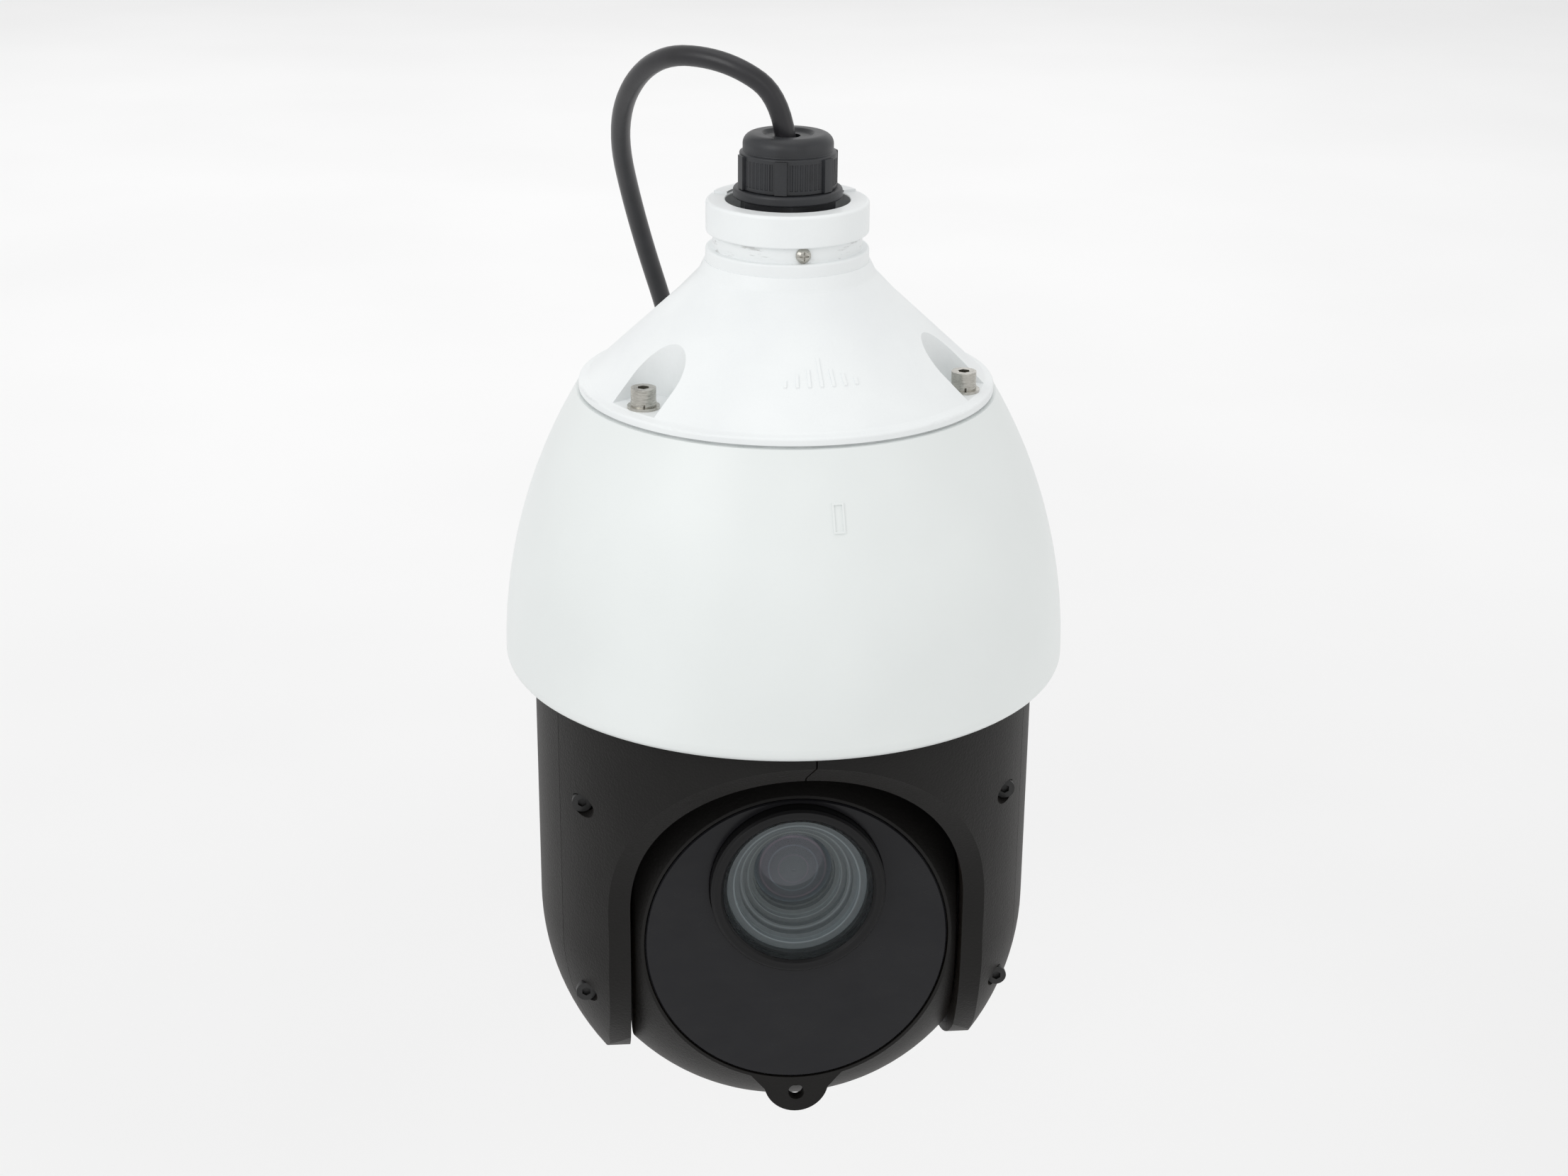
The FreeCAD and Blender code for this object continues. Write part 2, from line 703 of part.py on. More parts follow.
def gland_claw():
    """Slotted ring that presses the seal inwards as the nut is tightened."""
    outer = nut_bore_r - 2 * seat_gap
    low = gland_shoulder_z + seal_h + gap
    top = gland_top - 2.2
    body = lathe([
        (outer - 1.0, low), (outer, low - 2.0), (outer, top), (cable_r + gap, top), (cable_r + gap, low),
        (outer - 1.3, low),
    ])
    slots = [turned(box(-0.4, 0.4, -outer - 1, -cable_r + 1, low - 3, top + 1), 45 * k) for k in range(8)]
    return body.cut(Part.makeCompound(slots))


def gland_locknut():
    top = web_top - web_h
    low = top - 4.5
    across = 2 * gland_thread_r + 6.0
    return prism_z(hexagon(across), low, top).cut(rod(gland_thread_r, (0, 0, low - 1), (0, 0, top + 1)))


# ---------------------------------------------------------------- cable
def tube(points, radius):
    """Round cable through straight runs joined by tangent arcs."""
    edges = []
    last = V(*points[0])
    radii = []
    for i in range(1, len(points) - 1):
        corner = V(*points[i])
        into = V(*points[i - 1]) - corner
        out = V(*points[i + 1]) - corner
        reach = 0.45 * min(into.Length, out.Length)
        into.normalize()
        out.normalize()
        half = into.getAngle(out) / 2
        bend = reach * math.tan(half)
        start = corner + into * reach
        end = corner + out * reach
        middle = corner + (into + out).normalize() * (bend / math.sin(half) - bend)
        edges.append(Part.LineSegment(last, start).toShape())
        edges.append(Part.Arc(start, middle, end).toShape())
        radii.append(round(bend, 1))
        last = end
    edges.append(Part.LineSegment(last, V(*points[-1])).toShape())
    path = Part.Wire(edges)
    heading = V(*points[1]) - V(*points[0])
    profile = Part.Wire([Part.makeCircle(radius, V(*points[0]), heading)])
    solid = path.makePipeShell([profile], True, True)
    print("bend radii", radii, "length", round(path.Length, 1),
          "volume ratio", round(solid.Volume / (path.Length * math.pi * radius ** 2), 4))
    return solid


def cable_coil():
    x, y, z = coil_centre
    body = ring_y(coil_turn_r - coil_bundle, coil_turn_r + coil_bundle, y - coil_bundle, y + coil_bundle, x, z)
    edges = [e for e in body.Edges if e.Length > 30]
    return body.makeFillet(coil_bundle - 1.5, edges)


def cable_tie():
    x, y, z = coil_centre
    out = coil_bundle + tie_wall
    middle = x + coil_turn_r
    band = box(middle - out, middle + out, y - out, y + out, z - tie_w / 2, z + tie_w / 2)
    band = band.makeFillet(coil_bundle - 1.5, [e for e in band.Edges if abs(e.BoundBox.ZLength - tie_w) < 0.01])
    return band.cut(cable_coil())


def network_socket():
    x, y, z = tail_route[-1]
    sleeve = lathe([(0, 0), (4.2, 0, 0.8), (5.4, -sleeve_l, 0.6), (0, -sleeve_l)])
    mouth = -sleeve_l - socket_l
    body = box(-socket_w / 2, socket_w / 2, -socket_h / 2, socket_h / 2, mouth, -sleeve_l)
    body = body.makeFillet(1.5, [e for e in body.Edges if abs(e.BoundBox.ZLength - socket_l) < 0.01])
    port = box(-port_w / 2, port_w / 2, -port_h / 2, port_h / 2, mouth - 1, mouth + port_depth)
    return moved(joined([sleeve, body]).cut(port), x, y, z)


# ---------------------------------------------------------------- pan drive
def bearing_housing():
    inner = pan_outer_race_r
    low = pan_bearing_z[1] - pan_race_h / 2
    top = plate_z - plate_h
    body = ring(inner, inner + housing_wall, low, top)
    foot = ring(inner - housing_lip, inner + housing_wall, low - 1.5, low)
    return joined([body, foot])


def pan_hub():
    """Hollow hub that hangs the turntable from the two pan bearings."""
    top = pan_bearing_z[0] + pan_race_h / 2 + 0.8
    seat = pan_bearing_z[1] - pan_race_h / 2
    flange_top = turntable_z + hub_flange_h
    sleeve = ring(hub_bore_r, hub_r, turntable_z, top)
    shoulder = ring(hub_r, hub_r + 1.6, seat - 4.5, seat)
    flange = ring(hub_bore_r, hub_flange_r, turntable_z, flange_top)
    holes = [
        rod(hub_screw_r + 0.3, (x, y, turntable_z - 1), (x, y, flange_top + 1))
        for x, y in four_places(hub_screw_circle_r, 0)
    ]
    return joined([sleeve, shoulder, flange]).cut(Part.makeCompound(holes))


def pan_bearings():
    outer = []
    inner = []
    balls = []
    for z in pan_bearing_z:
        outer.append(race(pan_race_gap_r + 0.8, pan_outer_race_r, pan_race_gap_r, pan_ball_r, pan_race_h, z))
        inner.append(race(hub_r, pan_race_gap_r - 0.8, pan_race_gap_r, pan_ball_r, pan_race_h, z))
        balls += ball_ring(16, pan_race_gap_r, pan_ball_r, z)
    return outer, inner, balls


def pan_motor():
    low = pan_motor_top - pan_motor_h
    body = rod(pan_motor_r, (pan_motor_x, 0, low), (pan_motor_x, 0, pan_motor_top))
    boss = rod(5.5, (pan_motor_x, 0, low - 1.5), (pan_motor_x, 0, low))
    bore = rod(pan_shaft_r + fit, (pan_motor_x, 0, low - 5), (pan_motor_x, 0, pan_motor_top - 6))
    return body.fuse(boss).cut(bore)


def pan_motor_shaft():
    return rod(pan_shaft_r, (pan_motor_x, 0, pan_pulley_z - 4.5), (pan_motor_x, 0, pan_motor_top - 8))


def slip_ring():
    """Sealed slip ring: its can hangs from the plate and its stub turns with the hub."""
    base = plate_z
    low = pan_bearing_z[1] - 12.0
    driver = turntable_z + 14.0
    stator = joined([
        rod(hub_bore_r - 0.9, (0, 0, low), (0, 0, base)),
        rod(12.5, (0, 0, base), (0, 0, base + slip_flange_h)),
    ])
    stator = stator.cut(rod(slip_rotor_r + fit, (0, 0, low - 1), (0, 0, base - 6)))
    rotor = joined([
        rod(slip_rotor_r, (0, 0, driver - 2), (0, 0, base - 8)),
        rod(hub_bore_r, (0, 0, driver), (0, 0, driver + 4)),
    ])
    return stator, rotor


# ---------------------------------------------------------------- yoke
def yoke_form(inset):
    """The yoke's rounded outer form, or the same form smaller by inset."""
    r = yoke_r - inset
    far = yoke_r + 16
    barrel = lathe([
        (0, yoke_top), (r - 0.8, yoke_top), (r, yoke_top - 0.8), (r, yoke_ball_z), (0, yoke_ball_z),
    ])
    low = Part.makeSphere(r, V(0, 0, yoke_ball_z))
    low = low.common(box(-far, far, -far, far, yoke_ball_z - far, yoke_ball_z))
    body = joined([barrel, low])
    corners = box(-far, far, -far, far, yoke_ball_z - far, arm_round_z)
    corners = corners.cut(rod(arm_round_r - inset, (-far, 0, arm_round_z), (far, 0, arm_round_z)))
    return body.cut(corners.cut(box(-channel_w, channel_w, 0, far, yoke_ball_z - far, arm_round_z)))


def arch(grow, y0, y1):
    """Tunnel with an arched roof, its half width the arms' spacing plus grow."""
    r = channel_w + grow
    low = box(-r, r, y0, y1, yoke_floor_z, arch_z)
    return low.fuse(rod(r, (0, y0, arch_z), (0, y1, arch_z)))


def skin_y(x, z):
    """Depth of the yoke's front surface at a place seen from the front."""
    low = min(0.0, z - yoke_ball_z)
    return -math.sqrt(max(25.0, yoke_r ** 2 - low ** 2 - x ** 2))


def bevel_cutter():
    """Solid that bevels the arch, carried round its outline as one smooth loft."""
    deep = math.sqrt(yoke_r ** 2 - channel_w ** 2) - 4.0
    arm_z = [yoke_ball_z - deep * part for part in (1.0, 0.9, 0.79, 0.63, 0.46, 0.23, 0.0)]
    stations = [(-channel_w, z, -1.0, 0.0) for z in arm_z]
    for k in range(13):
        turn = math.pi * (1 - k / 12)
        across, up = math.cos(turn), math.sin(turn)
        stations.append((channel_w * across, arch_z + channel_w * up, across, up))
    stations += [(channel_w, z, 1.0, 0.0) for z in reversed(arm_z)]
    sections = []
    for x, z, across, up in stations:
        inner_y = skin_y(x, z) + bevel_depth
        outer_y = skin_y(x + bevel * across, z + bevel * up)
        slope = (outer_y - inner_y) / bevel
        corners = []
        for reach, y in ((-2.0, None), (arch_border, None), (arch_border, -yoke_far), (-2.0, -yoke_far)):
            depth = inner_y + slope * reach if y is None else y
            corners.append(V(x + reach * across, depth, z + reach * up))
        sections.append(Part.makePolygon(corners + corners[:1]))
    return Part.makeLoft(sections, True, False)


def screw_places():
    """Cover screws as (side, x, y, z), y on the yoke's skin."""
    places = []
    for side in (-1, 1):
        x, y = around(yoke_r, side * cover_screw_angle)
        places += [(x, y, z) for z in cover_screw_z]
    return places


def front_covers():
    """Both halves of the yoke's front, with the bevelled arch round the camera module."""
    body = yoke_form(0.0).common(box(-yoke_far, yoke_far, -yoke_far, cover_split_y, yoke_floor_z, yoke_top + 1))
    body = body.cut(yoke_form(rim_depth))
    body = body.cut(arch(0.0, -yoke_far, 0)).cut(bevel_cutter())
    body = body.cut(yoke_form(yoke_wall).cut(arch(arch_border, -yoke_far, 0)))
    holes = []
    for x, y, z in screw_places():
        holes.append(rod(3.2, (x, -yoke_far, z), (x, y + 4.0, z)))
        holes.append(rod(cover_screw_r + fit, (x, -yoke_far, z), (x, cover_split_y + 5, z)))
        body = body.fuse(rod(4.6, (x, y + 4.0, z), (x, cover_split_y, z)).common(yoke_form(0.3)))
    body = body.cut(Part.makeCompound(holes)).removeSplitter()
    top = yoke_top + 5
    line = [(kink_x, top), (kink_x, kink_z[0]), (0.0, kink_z[1]), (0.0, yoke_floor_z)]
    half = joint_w / 2
    halves = []
    for side in (-1, 1):
        outline = [(x + side * half, z) for x, z in line]
        outline += [(side * yoke_far, yoke_floor_z), (side * yoke_far, top)]
        halves.append(body.common(prism_y(outline, -yoke_far, 0)))
    return halves


def cover_screws():
    screws = []
    for x, y, z in screw_places():
        bolt = turned(screw(2.9, 2.0, cover_screw_r, cover_screw_l, 1.2), 90, V(1, 0, 0))
        screws.append(moved(bolt, x, y + 4.0, z))
    return screws


def rear_cover():
    split = cover_split_y + joint_w / 2
    body = yoke_form(0.0).common(box(-yoke_far, yoke_far, split, yoke_far, yoke_floor_z, yoke_top + 1))
    body = body.cut(yoke_form(yoke_wall))
    body = body.cut(box(-channel_w, channel_w, -yoke_far, yoke_far, yoke_floor_z, rear_edge_z))
    body = body.cut(box(-channel_w, channel_w, -yoke_far, 0, yoke_floor_z, turntable_z))
    for x, y, z in screw_places():
        boss = rod(4.6, (x, split, z), (x, y + cover_screw_l + 6.0, z))
        hole = rod(cover_screw_r, (x, split - 1, z), (x, y + cover_screw_l + 5.0, z))
        body = body.fuse(boss.common(yoke_form(0.3))).cut(hole)
    body = body.cut(side_plates(gap / 4))
    return max(body.removeSplitter().Solids, key=lambda s: s.Volume)


def side_plates(grow):
    """The two flat inner walls of the arms."""
    walls = []
    for side in (-1, 1):
        x0 = side * channel_w
        x1 = side * (channel_w + side_wall + grow)
        wall = box(min(x0, x1), max(x0, x1), -yoke_r, yoke_r, yoke_floor_z, turntable_z - 1)
        walls.append(wall.common(yoke_form(yoke_wall + gap / 4)))
    return joined(walls)


def yoke_frame():
    """Turntable with the two side plates that carry the tilt bearings."""
    low = turntable_z - turntable_h
    disc = rod(yoke_r - yoke_wall - gap / 4, (0, 0, low), (0, 0, turntable_z))
    trim = arch(arch_border + gap, -yoke_far, cover_split_y + gap).cut(yoke_form(rim_depth + gap))
    walls = side_plates(0.0).cut(trim)
    bosses = []
    bores = []
    for side in (-1, 1):
        far = side * (bearing_boss_x + 10)
        boss_r = tilt_outer_race_r + 2.5
        bosses.append(rod(boss_r, (side * channel_w, 0, tilt_z), (side * bearing_boss_x, 0, tilt_z)))
        bores.append(rod(tilt_outer_race_r, (side * bearing_seat_x, 0, tilt_z), (far, 0, tilt_z)))
        bores.append(rod(shaft_flange_r, (side * (channel_w - 8), 0, tilt_z), (far, 0, tilt_z)))
    bores.append(rod(hub_bore_r, (0, 0, low - 1), (0, 0, turntable_z + 1)))
    for x, y in four_places(hub_screw_circle_r, 0):
        bores.append(rod(hub_screw_r, (x, y, low - 1), (x, y, turntable_z + 1)))
    return joined([disc, walls] + bosses).cut(Part.makeCompound(bores))


def hub_screws():
    length = hub_flange_h + turntable_h - 0.2
    return [
        moved(screw(2.8, 1.8, hub_screw_r, length, 1.1), x, y, turntable_z + hub_flange_h)
        for x, y in four_places(hub_screw_circle_r, 0)
    ]


def dust_ring():
    """Felt ring on the dome's rim that brushes round the top of the yoke."""
    low = rim_z + rim_h
    return ring(yoke_r + gap, rim_inner_r + 1.5, low, low + dust_ring_h)


# ---------------------------------------------------------------- tilt drive
def tilt_bearings():
    outer = []
    inner = []
    balls = []
    track = (shaft_r + tilt_outer_race_r) / 2
    for side in (-1, 1):
        centre = side * (bearing_seat_x + tilt_race_h / 2)
        pieces = [
            race(track + 0.7, tilt_outer_race_r, track, tilt_ball_r, tilt_race_h),
            race(shaft_r, track - 0.7, track, tilt_ball_r, tilt_race_h),
        ] + ball_ring(12, track, tilt_ball_r)
        pieces = [moved(turned(p, 90, V(0, 1, 0)), centre, 0, tilt_z) for p in pieces]
        outer.append(pieces[0])
        inner.append(pieces[1])
        balls += pieces[2:]
    return outer, inner, balls


def tilt_shaft(side):
    """Flanged stub shaft through one flat side of the module."""
    end = bearing_boss_x + 2.0 if side < 0 else tilt_pulley_x + belt_w / 2 + 1.6
    inside = ball_w - ball_wall
    pieces = [
        (shaft_flange_r, inside - 2.0, inside),
        (shaft_collar_r, inside, bearing_seat_x - 0.2),
        (shaft_r, inside - 3.4, end),
    ]
    return joined([rod(r, (side * x0, 0, tilt_z), (side * x1, 0, tilt_z)) for r, x0, x1 in pieces])


def lay_tilt_drive(shape):
    """From the belt's own plane, big pulley at the origin, to the right arm."""
    shape = turned(shape, -90, V(0, 1, 0))
    return moved(shape, tilt_pulley_x, 0, tilt_z)


def tilt_motor():
    """Flat motor on the right arm's inner wall, and its shaft."""
    face = tilt_motor_face_x
    z = tilt_motor_z
    back = face - tilt_motor_h
    body = rod(tilt_motor_r, (back, 0, z), (face, 0, z))
    body = body.cut(rod(tilt_motor_shaft_r + fit, (back + 1.5, 0, z), (face + 1, 0, z)))
    shaft = rod(tilt_motor_shaft_r, (back + 2.0, 0, z), (tilt_pulley_x + belt_w / 2 + 1.4, 0, z))
    return body, shaft


def main_board():
    """Control board on four pillars against the left arm's inner wall."""
    wall = -channel_w - side_wall
    x = wall - 2.0
    back = x - 1.6
    z = tilt_z + 44.0
    pieces = [box(back, x, -28, 28, z - 23, z + 23)]
    for depth, y0, y1, z0, z1 in (
        (2.4, -12, 2, -11, 3),
        (1.8, 8, 18, -5, 5),
        (4.0, 20, 26, -7, 21),
        (6.0, 4, 20, -21, -11),
    ):
        pieces.append(box(back - depth, back, y0, y1, z + z0, z + z1))
    pieces += [rod(1.5, (x, y, z + up), (wall, y, z + up)) for y in (-24, 24) for up in (-19, 19)]
    return pieces


# ---------------------------------------------------------------- camera module
def place(shape):
    """From the module's own level frame to its rest angle at the tilt axis."""
    return moved(turned(shape, -rest_tilt, V(1, 0, 0)), 0, 0, tilt_z)


def ball_form(inset):
    """The module's cut ball, or the same form smaller by inset."""
    r = ball_r - inset
    w = ball_w - inset
    far = ball_r + 20
    body = Part.makeSphere(r).common(box(-w, w, -far, far, -far, far))
    if inset == 0:
        body = body.makeFillet(1.6, [e for e in body.Edges if e.Length > 60])
    return body.common(box(-far, far, face_y + inset, far, -far, far))


def front_half(y):
    far = ball_r + 20
    return box(-far, far, -far, y, -far, far)


def rear_half(y):
    far = ball_r + 20
    return box(-far, far, y, far, -far, far)


def module_screw_places():
    return [(x, z) for x in (-module_screw_x, module_screw_x) for z in (-module_screw_z, module_screw_z)]


def lug():
    """Tongue under the face. Its hole for the safety cord sinks into the shell's skin."""
    y0 = face_y
    y1 = face_y + lug_h
    tongue = rod(lug_r, (0, y0, lug_z), (0, y1, lug_z))
    flare = prism_y([(-15.5, lug_z + 5), (15.5, lug_z + 5), (9.0, lug_z - 2.5), (-9.0, lug_z - 2.5)], y0, y1)
    return joined([tongue, flare])


def front_shell():
    shell = ball_form(0.0).common(front_half(0.0)).fuse(lug())
    shell = shell.cut(ball_form(ball_wall))
    shell = shell.cut(rod(lug_hole_r, (0, face_y - 1, lug_hole_z), (0, face_y + lug_h, lug_hole_z)))
    shell = shell.cut(rod(face_r + face_gap, (0, face_y - 1, 0), (0, face_y + face_h, 0)))
    shell = shell.cut(rod(face_r - face_ledge, (0, face_y - 1, 0), (0, face_y + face_h + 7, 0)))
    shell = shell.cut(rod(shaft_collar_r, (-ball_r, 0, 0), (ball_r, 0, 0)))
    for x, z in module_screw_places():
        pillar = rod(4.0, (x, -ball_r, z), (x, 0, z)).common(ball_form(0.6))
        depth = module_screw_y - module_screw_l - 2.0
        shell = shell.fuse(pillar).cut(rod(module_screw_r, (x, depth, z), (x, 1, z)))
    return shell.removeSplitter()


def rear_shell():
    shell = ball_form(0.0).common(rear_half(module_seal_h)).cut(ball_form(ball_wall))
    shell = shell.cut(rod(shaft_collar_r, (-ball_r, 0, 0), (ball_r, 0, 0)))
    for x, z in module_screw_places():
        pillar = rod(4.0, (x, module_seal_h, z), (x, ball_r, z)).common(ball_form(0.6))
        shell = shell.fuse(pillar).cut(rod(module_screw_r + 0.2, (x, 0, z), (x, ball_r, z)))
        shell = shell.cut(rod(3.2, (x, module_screw_y, z), (x, ball_r, z)))
    return shell.removeSplitter()


def module_seal():
    body = ball_form(0.7).cut(ball_form(ball_wall - 0.4))
    body = body.common(rear_half(0.0)).common(front_half(module_seal_h))
    return body.cut(rod(shaft_collar_r + 1.2, (-ball_r, 0, 0), (ball_r, 0, 0)))


def module_screws():
    bolt = turned(screw(2.8, 2.0, module_screw_r, module_screw_l, 1.2), -90, V(1, 0, 0))
    return [moved(bolt, x, module_screw_y, z) for x, z in module_screw_places()]


def front_plate():
    plate = rod(face_r, (0, face_y, 0), (0, face_y + face_h, 0))
    edge = [e for e in plate.Edges if abs(e.BoundBox.YMax - face_y) < 0.01]
    plate = plate.makeChamfer(0.4, edge)
    return plate.cut(rod(bezel_r + 0.2, (0, face_y - 1, lens_z), (0, face_y + face_h + 1, lens_z)))


def lens_turned(points):
    """Turned about the lens axis; corners are (radius, distance behind the face, corner radius)."""
    shape = lathe([(p[0], -p[1]) + tuple(p[2:]) for p in points])
    return moved(turned(shape, 90, V(1, 0, 0)), 0, face_y, lens_z)


def lens_bezel():
    """Ring that stands out of the plate and holds the window."""
    seat = face_h - seat_gap
    back = face_h + 1.6
    skirt_r = window_r + 0.8
    return lens_turned([
        (skirt_r, back), (skirt_r, seat), (bezel_r, seat), (bezel_r, -bezel_out + 0.9, 0.5),
        (bezel_r - 0.9, -bezel_out, 0.4), (window_r + 0.9, -bezel_out, 0.4),
        (window_r + seat_gap, -bezel_out + 0.9), (window_r + seat_gap, -bezel_seat),
        (window_r - 1.2, -bezel_seat), (window_r - 1.2, back),
    ])


def dome_arc(radius, bulge, z, side=1):
    """Arc from the axis out to the radius, on a sphere centred on the axis."""
    ball = (radius ** 2 + bulge ** 2) / (2 * bulge)
    half = radius / 2
    dip = ball - math.sqrt(ball ** 2 - half ** 2)
    top = V(0, 0, z + side * bulge)
    middle = V(half, 0, z + side * (bulge - dip))
    return Part.Arc(top, middle, V(radius, 0, z)).toShape()


def lens_form(radius, front_bulge, back_bulge, thick):
    """Lens about Z, its front up; a bulge of zero is a flat face."""
    half = thick / 2
    edges = []
    if front_bulge:
        edges.append(dome_arc(radius, front_bulge, half))
    else:
        edges.append(Part.makeLine(V(0, 0, half), V(radius, 0, half)))
    edges.append(Part.makeLine(V(radius, 0, half), V(radius, 0, -half)))
    if back_bulge:
        edges.append(dome_arc(radius, back_bulge, -half, -1))
    else:
        edges.append(Part.makeLine(V(radius, 0, -half), V(0, 0, -half)))
    edges.append(Part.makeLine(V(0, 0, -half - back_bulge), V(0, 0, half + front_bulge)))
    return Part.Face(Part.Wire(Part.sortEdges(edges)[0])).revolve(V(0, 0, 0), V(0, 0, 1), 360)


def along_lens(shape, y):
    return moved(turned(shape, 90, V(1, 0, 0)), 0, y, lens_z)


def window():
    """Thick window with a slightly domed front."""
    front = bezel_out - 1.0
    thick = front - bezel_seat
    return along_lens(lens_form(window_r, window_sag, 0.0, thick), face_y - bezel_seat - thick / 2)


def lens_barrel():
    """Lens tube with a stepped funnel opening towards the window."""
    depth = element_y - face_y
    steps = 5
    start = 0.6
    mouth_r = window_r - 1.2 - seat_gap
    points = [(mouth_r, start), (mouth_r, 3.5), (barrel_r, depth + 1.0), (barrel_r, depth + 7.1)]
    points += [(element_r, depth + 7.1), (element_r, depth)]
    for k in range(steps):
        r = element_r + 0.6 + (mouth_r - 1.3 - element_r) * k / steps
        y = depth - (depth - start) * k / steps
        points += [(r, y), (r, y - (depth - start) / steps)]
    return lens_turned(points)


def front_element():
    return along_lens(lens_form(element_r, 2.2, 2.2, element_h), element_y + 3.8)


def zoom_housing():
    """Square lens housing that holds the guide rods."""
    y0 = element_y + 7.1 + seat_gap
    inside = housing_w - housing_shell
    outer = box(-housing_w, housing_w, y0, sensor_y, lens_z - housing_w, lens_z + housing_w)
    inner = box(-inside, inside, y0 + 2.0, sensor_y + 1, lens_z - inside, lens_z + inside)
    return outer.cut(inner).cut(rod(element_r - 1, (0, y0 - 1, lens_z), (0, y0 + 3, lens_z)))


def rod_places():
    return [(side * rod_out, lens_z - side * rod_out) for side in (-1, 1)]


def guide_rods():
    y0 = element_y + 9.1 + seat_gap
    return [rod(rod_r, (x, y0, z), (x, sensor_y, z)) for x, z in rod_places()]


def carriage(y, lens_r):
    """Lens carriage that slides on the two guide rods, with its lens."""
    end = y + carriage_l
    body = rod(lens_r + 2.5, (0, y, lens_z), (0, end, lens_z))
    cuts = [rod(lens_r, (0, y - 1, lens_z), (0, end + 1, lens_z))]
    for x, z in rod_places():
        body = body.fuse(rod(3.0, (x, y, z), (x, end, z)))
        arm = box(-1.5, 1.5, y, y + carriage_l / 2, 0, rod_out * math.sqrt(2))
        body = body.fuse(moved(turned(arm, 45 + (90 if x > 0 else -90), V(0, 1, 0)), 0, 0, lens_z))
        cuts.append(rod(rod_r + fit, (x, y - 1, z), (x, end + 1, z)))
    glass = along_lens(lens_form(lens_r, 0.9, 0.9, 2.4), y + carriage_l / 2)
    return body.cut(Part.makeCompound(cuts)).removeSplitter(), glass


def sensor_board():
    half = housing_w - 1.0
    board = box(-half, half, sensor_y, sensor_y + sensor_h, lens_z - half, lens_z + half)
    chip = box(-6, 6, sensor_y - 1.6, sensor_y, lens_z - 5, lens_z + 5)
    return board, chip


def infrared_unit():
    """Lamp board behind the dark face, under the lens."""
    y = face_y + face_h + lamp_space + lamp_r + lamp_l
    low = -face_r - 5
    side = face_r
    board = rod(face_r - 6.1, (0, y, 0), (0, y + 1.6, 0))
    board = board.common(box(-side, side, low, 0, low, lens_z - bezel_r - 2))
    pieces = [board]
    for k in range(5):
        x, z = around(lamp_circle_r, 25.0 * (k - 2))
        tip = Part.makeSphere(lamp_r, V(x, y - lamp_l, z)).common(front_half(y - lamp_l))
        pieces.append(rod(lamp_r, (x, y - lamp_l, z), (x, y, z)).fuse(tip))
    return pieces


# ---------------------------------------------------------------- build and write
os.makedirs("parts", exist_ok=True)

export("mount_collar", collar())
export("neck_screw", neck_screw())
export("cap", cap())
screws, washers = cap_fastenings()
export("cap_screws", screws)
export("cap_washers", washers)
export("collar_nut", collar_nut())
export("cap_gasket", cap_gasket())
export("dome_cover", dome_cover())
export("dust_ring", dust_ring())
export("chassis_plate", chassis_plate())
export("chassis_screws", chassis_screws())
export("power_board", power_board())

export("gland_body", gland_body())
export("gland_dome_nut", gland_nut())
export("gland_seal", gland_seal())
export("gland_claw", gland_claw())
export("gland_locknut", gland_locknut())
export("inner_lead", rod(cable_r, (0, 0, plate_z + slip_flange_h), cable_route[0]))
export("cable", tube(cable_route, cable_r))
export("cable_coil", cable_coil())
export("cable_tie", cable_tie())
export("cable_tail", tube(tail_route, cable_r))
export("network_socket", network_socket())

outer_races, inner_races, pan_balls = pan_bearings()
export("bearing_housing", bearing_housing())
export("pan_bearing_outer_races", outer_races)
export("pan_bearing_inner_races", inner_races + pan_balls)
export("pan_hub", [pan_hub()] + hub_screws())
export("pan_pulley", moved(pulley(pan_teeth, hub_r), 0, 0, pan_pulley_z))
export("pan_belt", moved(turned(belt(pan_teeth, pan_motor_teeth, -pan_motor_x), 180), 0, 0, pan_pulley_z))
export("pan_motor", pan_motor())
small_pulley = moved(pulley(pan_motor_teeth, pan_shaft_r), pan_motor_x, 0, pan_pulley_z)
export("pan_motor_pulley", [small_pulley, pan_motor_shaft()])
stator, rotor = slip_ring()
export("slip_ring_stator", stator)
export("slip_ring_rotor", rotor)

front_left, front_right = front_covers()
export("front_cover_left", front_left)
export("front_cover_right", front_right)
export("rear_cover", rear_cover())
export("cover_screws", cover_screws())
export("yoke_frame", yoke_frame())
outer_races, inner_races, tilt_balls = tilt_bearings()
export("tilt_bearing_outer_races", outer_races)
export("tilt_bearing_inner_races", inner_races + tilt_balls)
export("tilt_shafts", [tilt_shaft(-1), tilt_shaft(1)])
tilt_reach = tilt_motor_z - tilt_z
motor, shaft = tilt_motor()
small_pulley = moved(pulley(tilt_motor_teeth, tilt_motor_shaft_r), tilt_reach, 0, 0)
export("tilt_pulley", lay_tilt_drive(pulley(tilt_teeth, shaft_r)))
export("tilt_belt", lay_tilt_drive(belt(tilt_teeth, tilt_motor_teeth, tilt_reach)))
export("tilt_motor", motor)
export("tilt_motor_pulley", [lay_tilt_drive(small_pulley), shaft])
export("main_board", main_board())

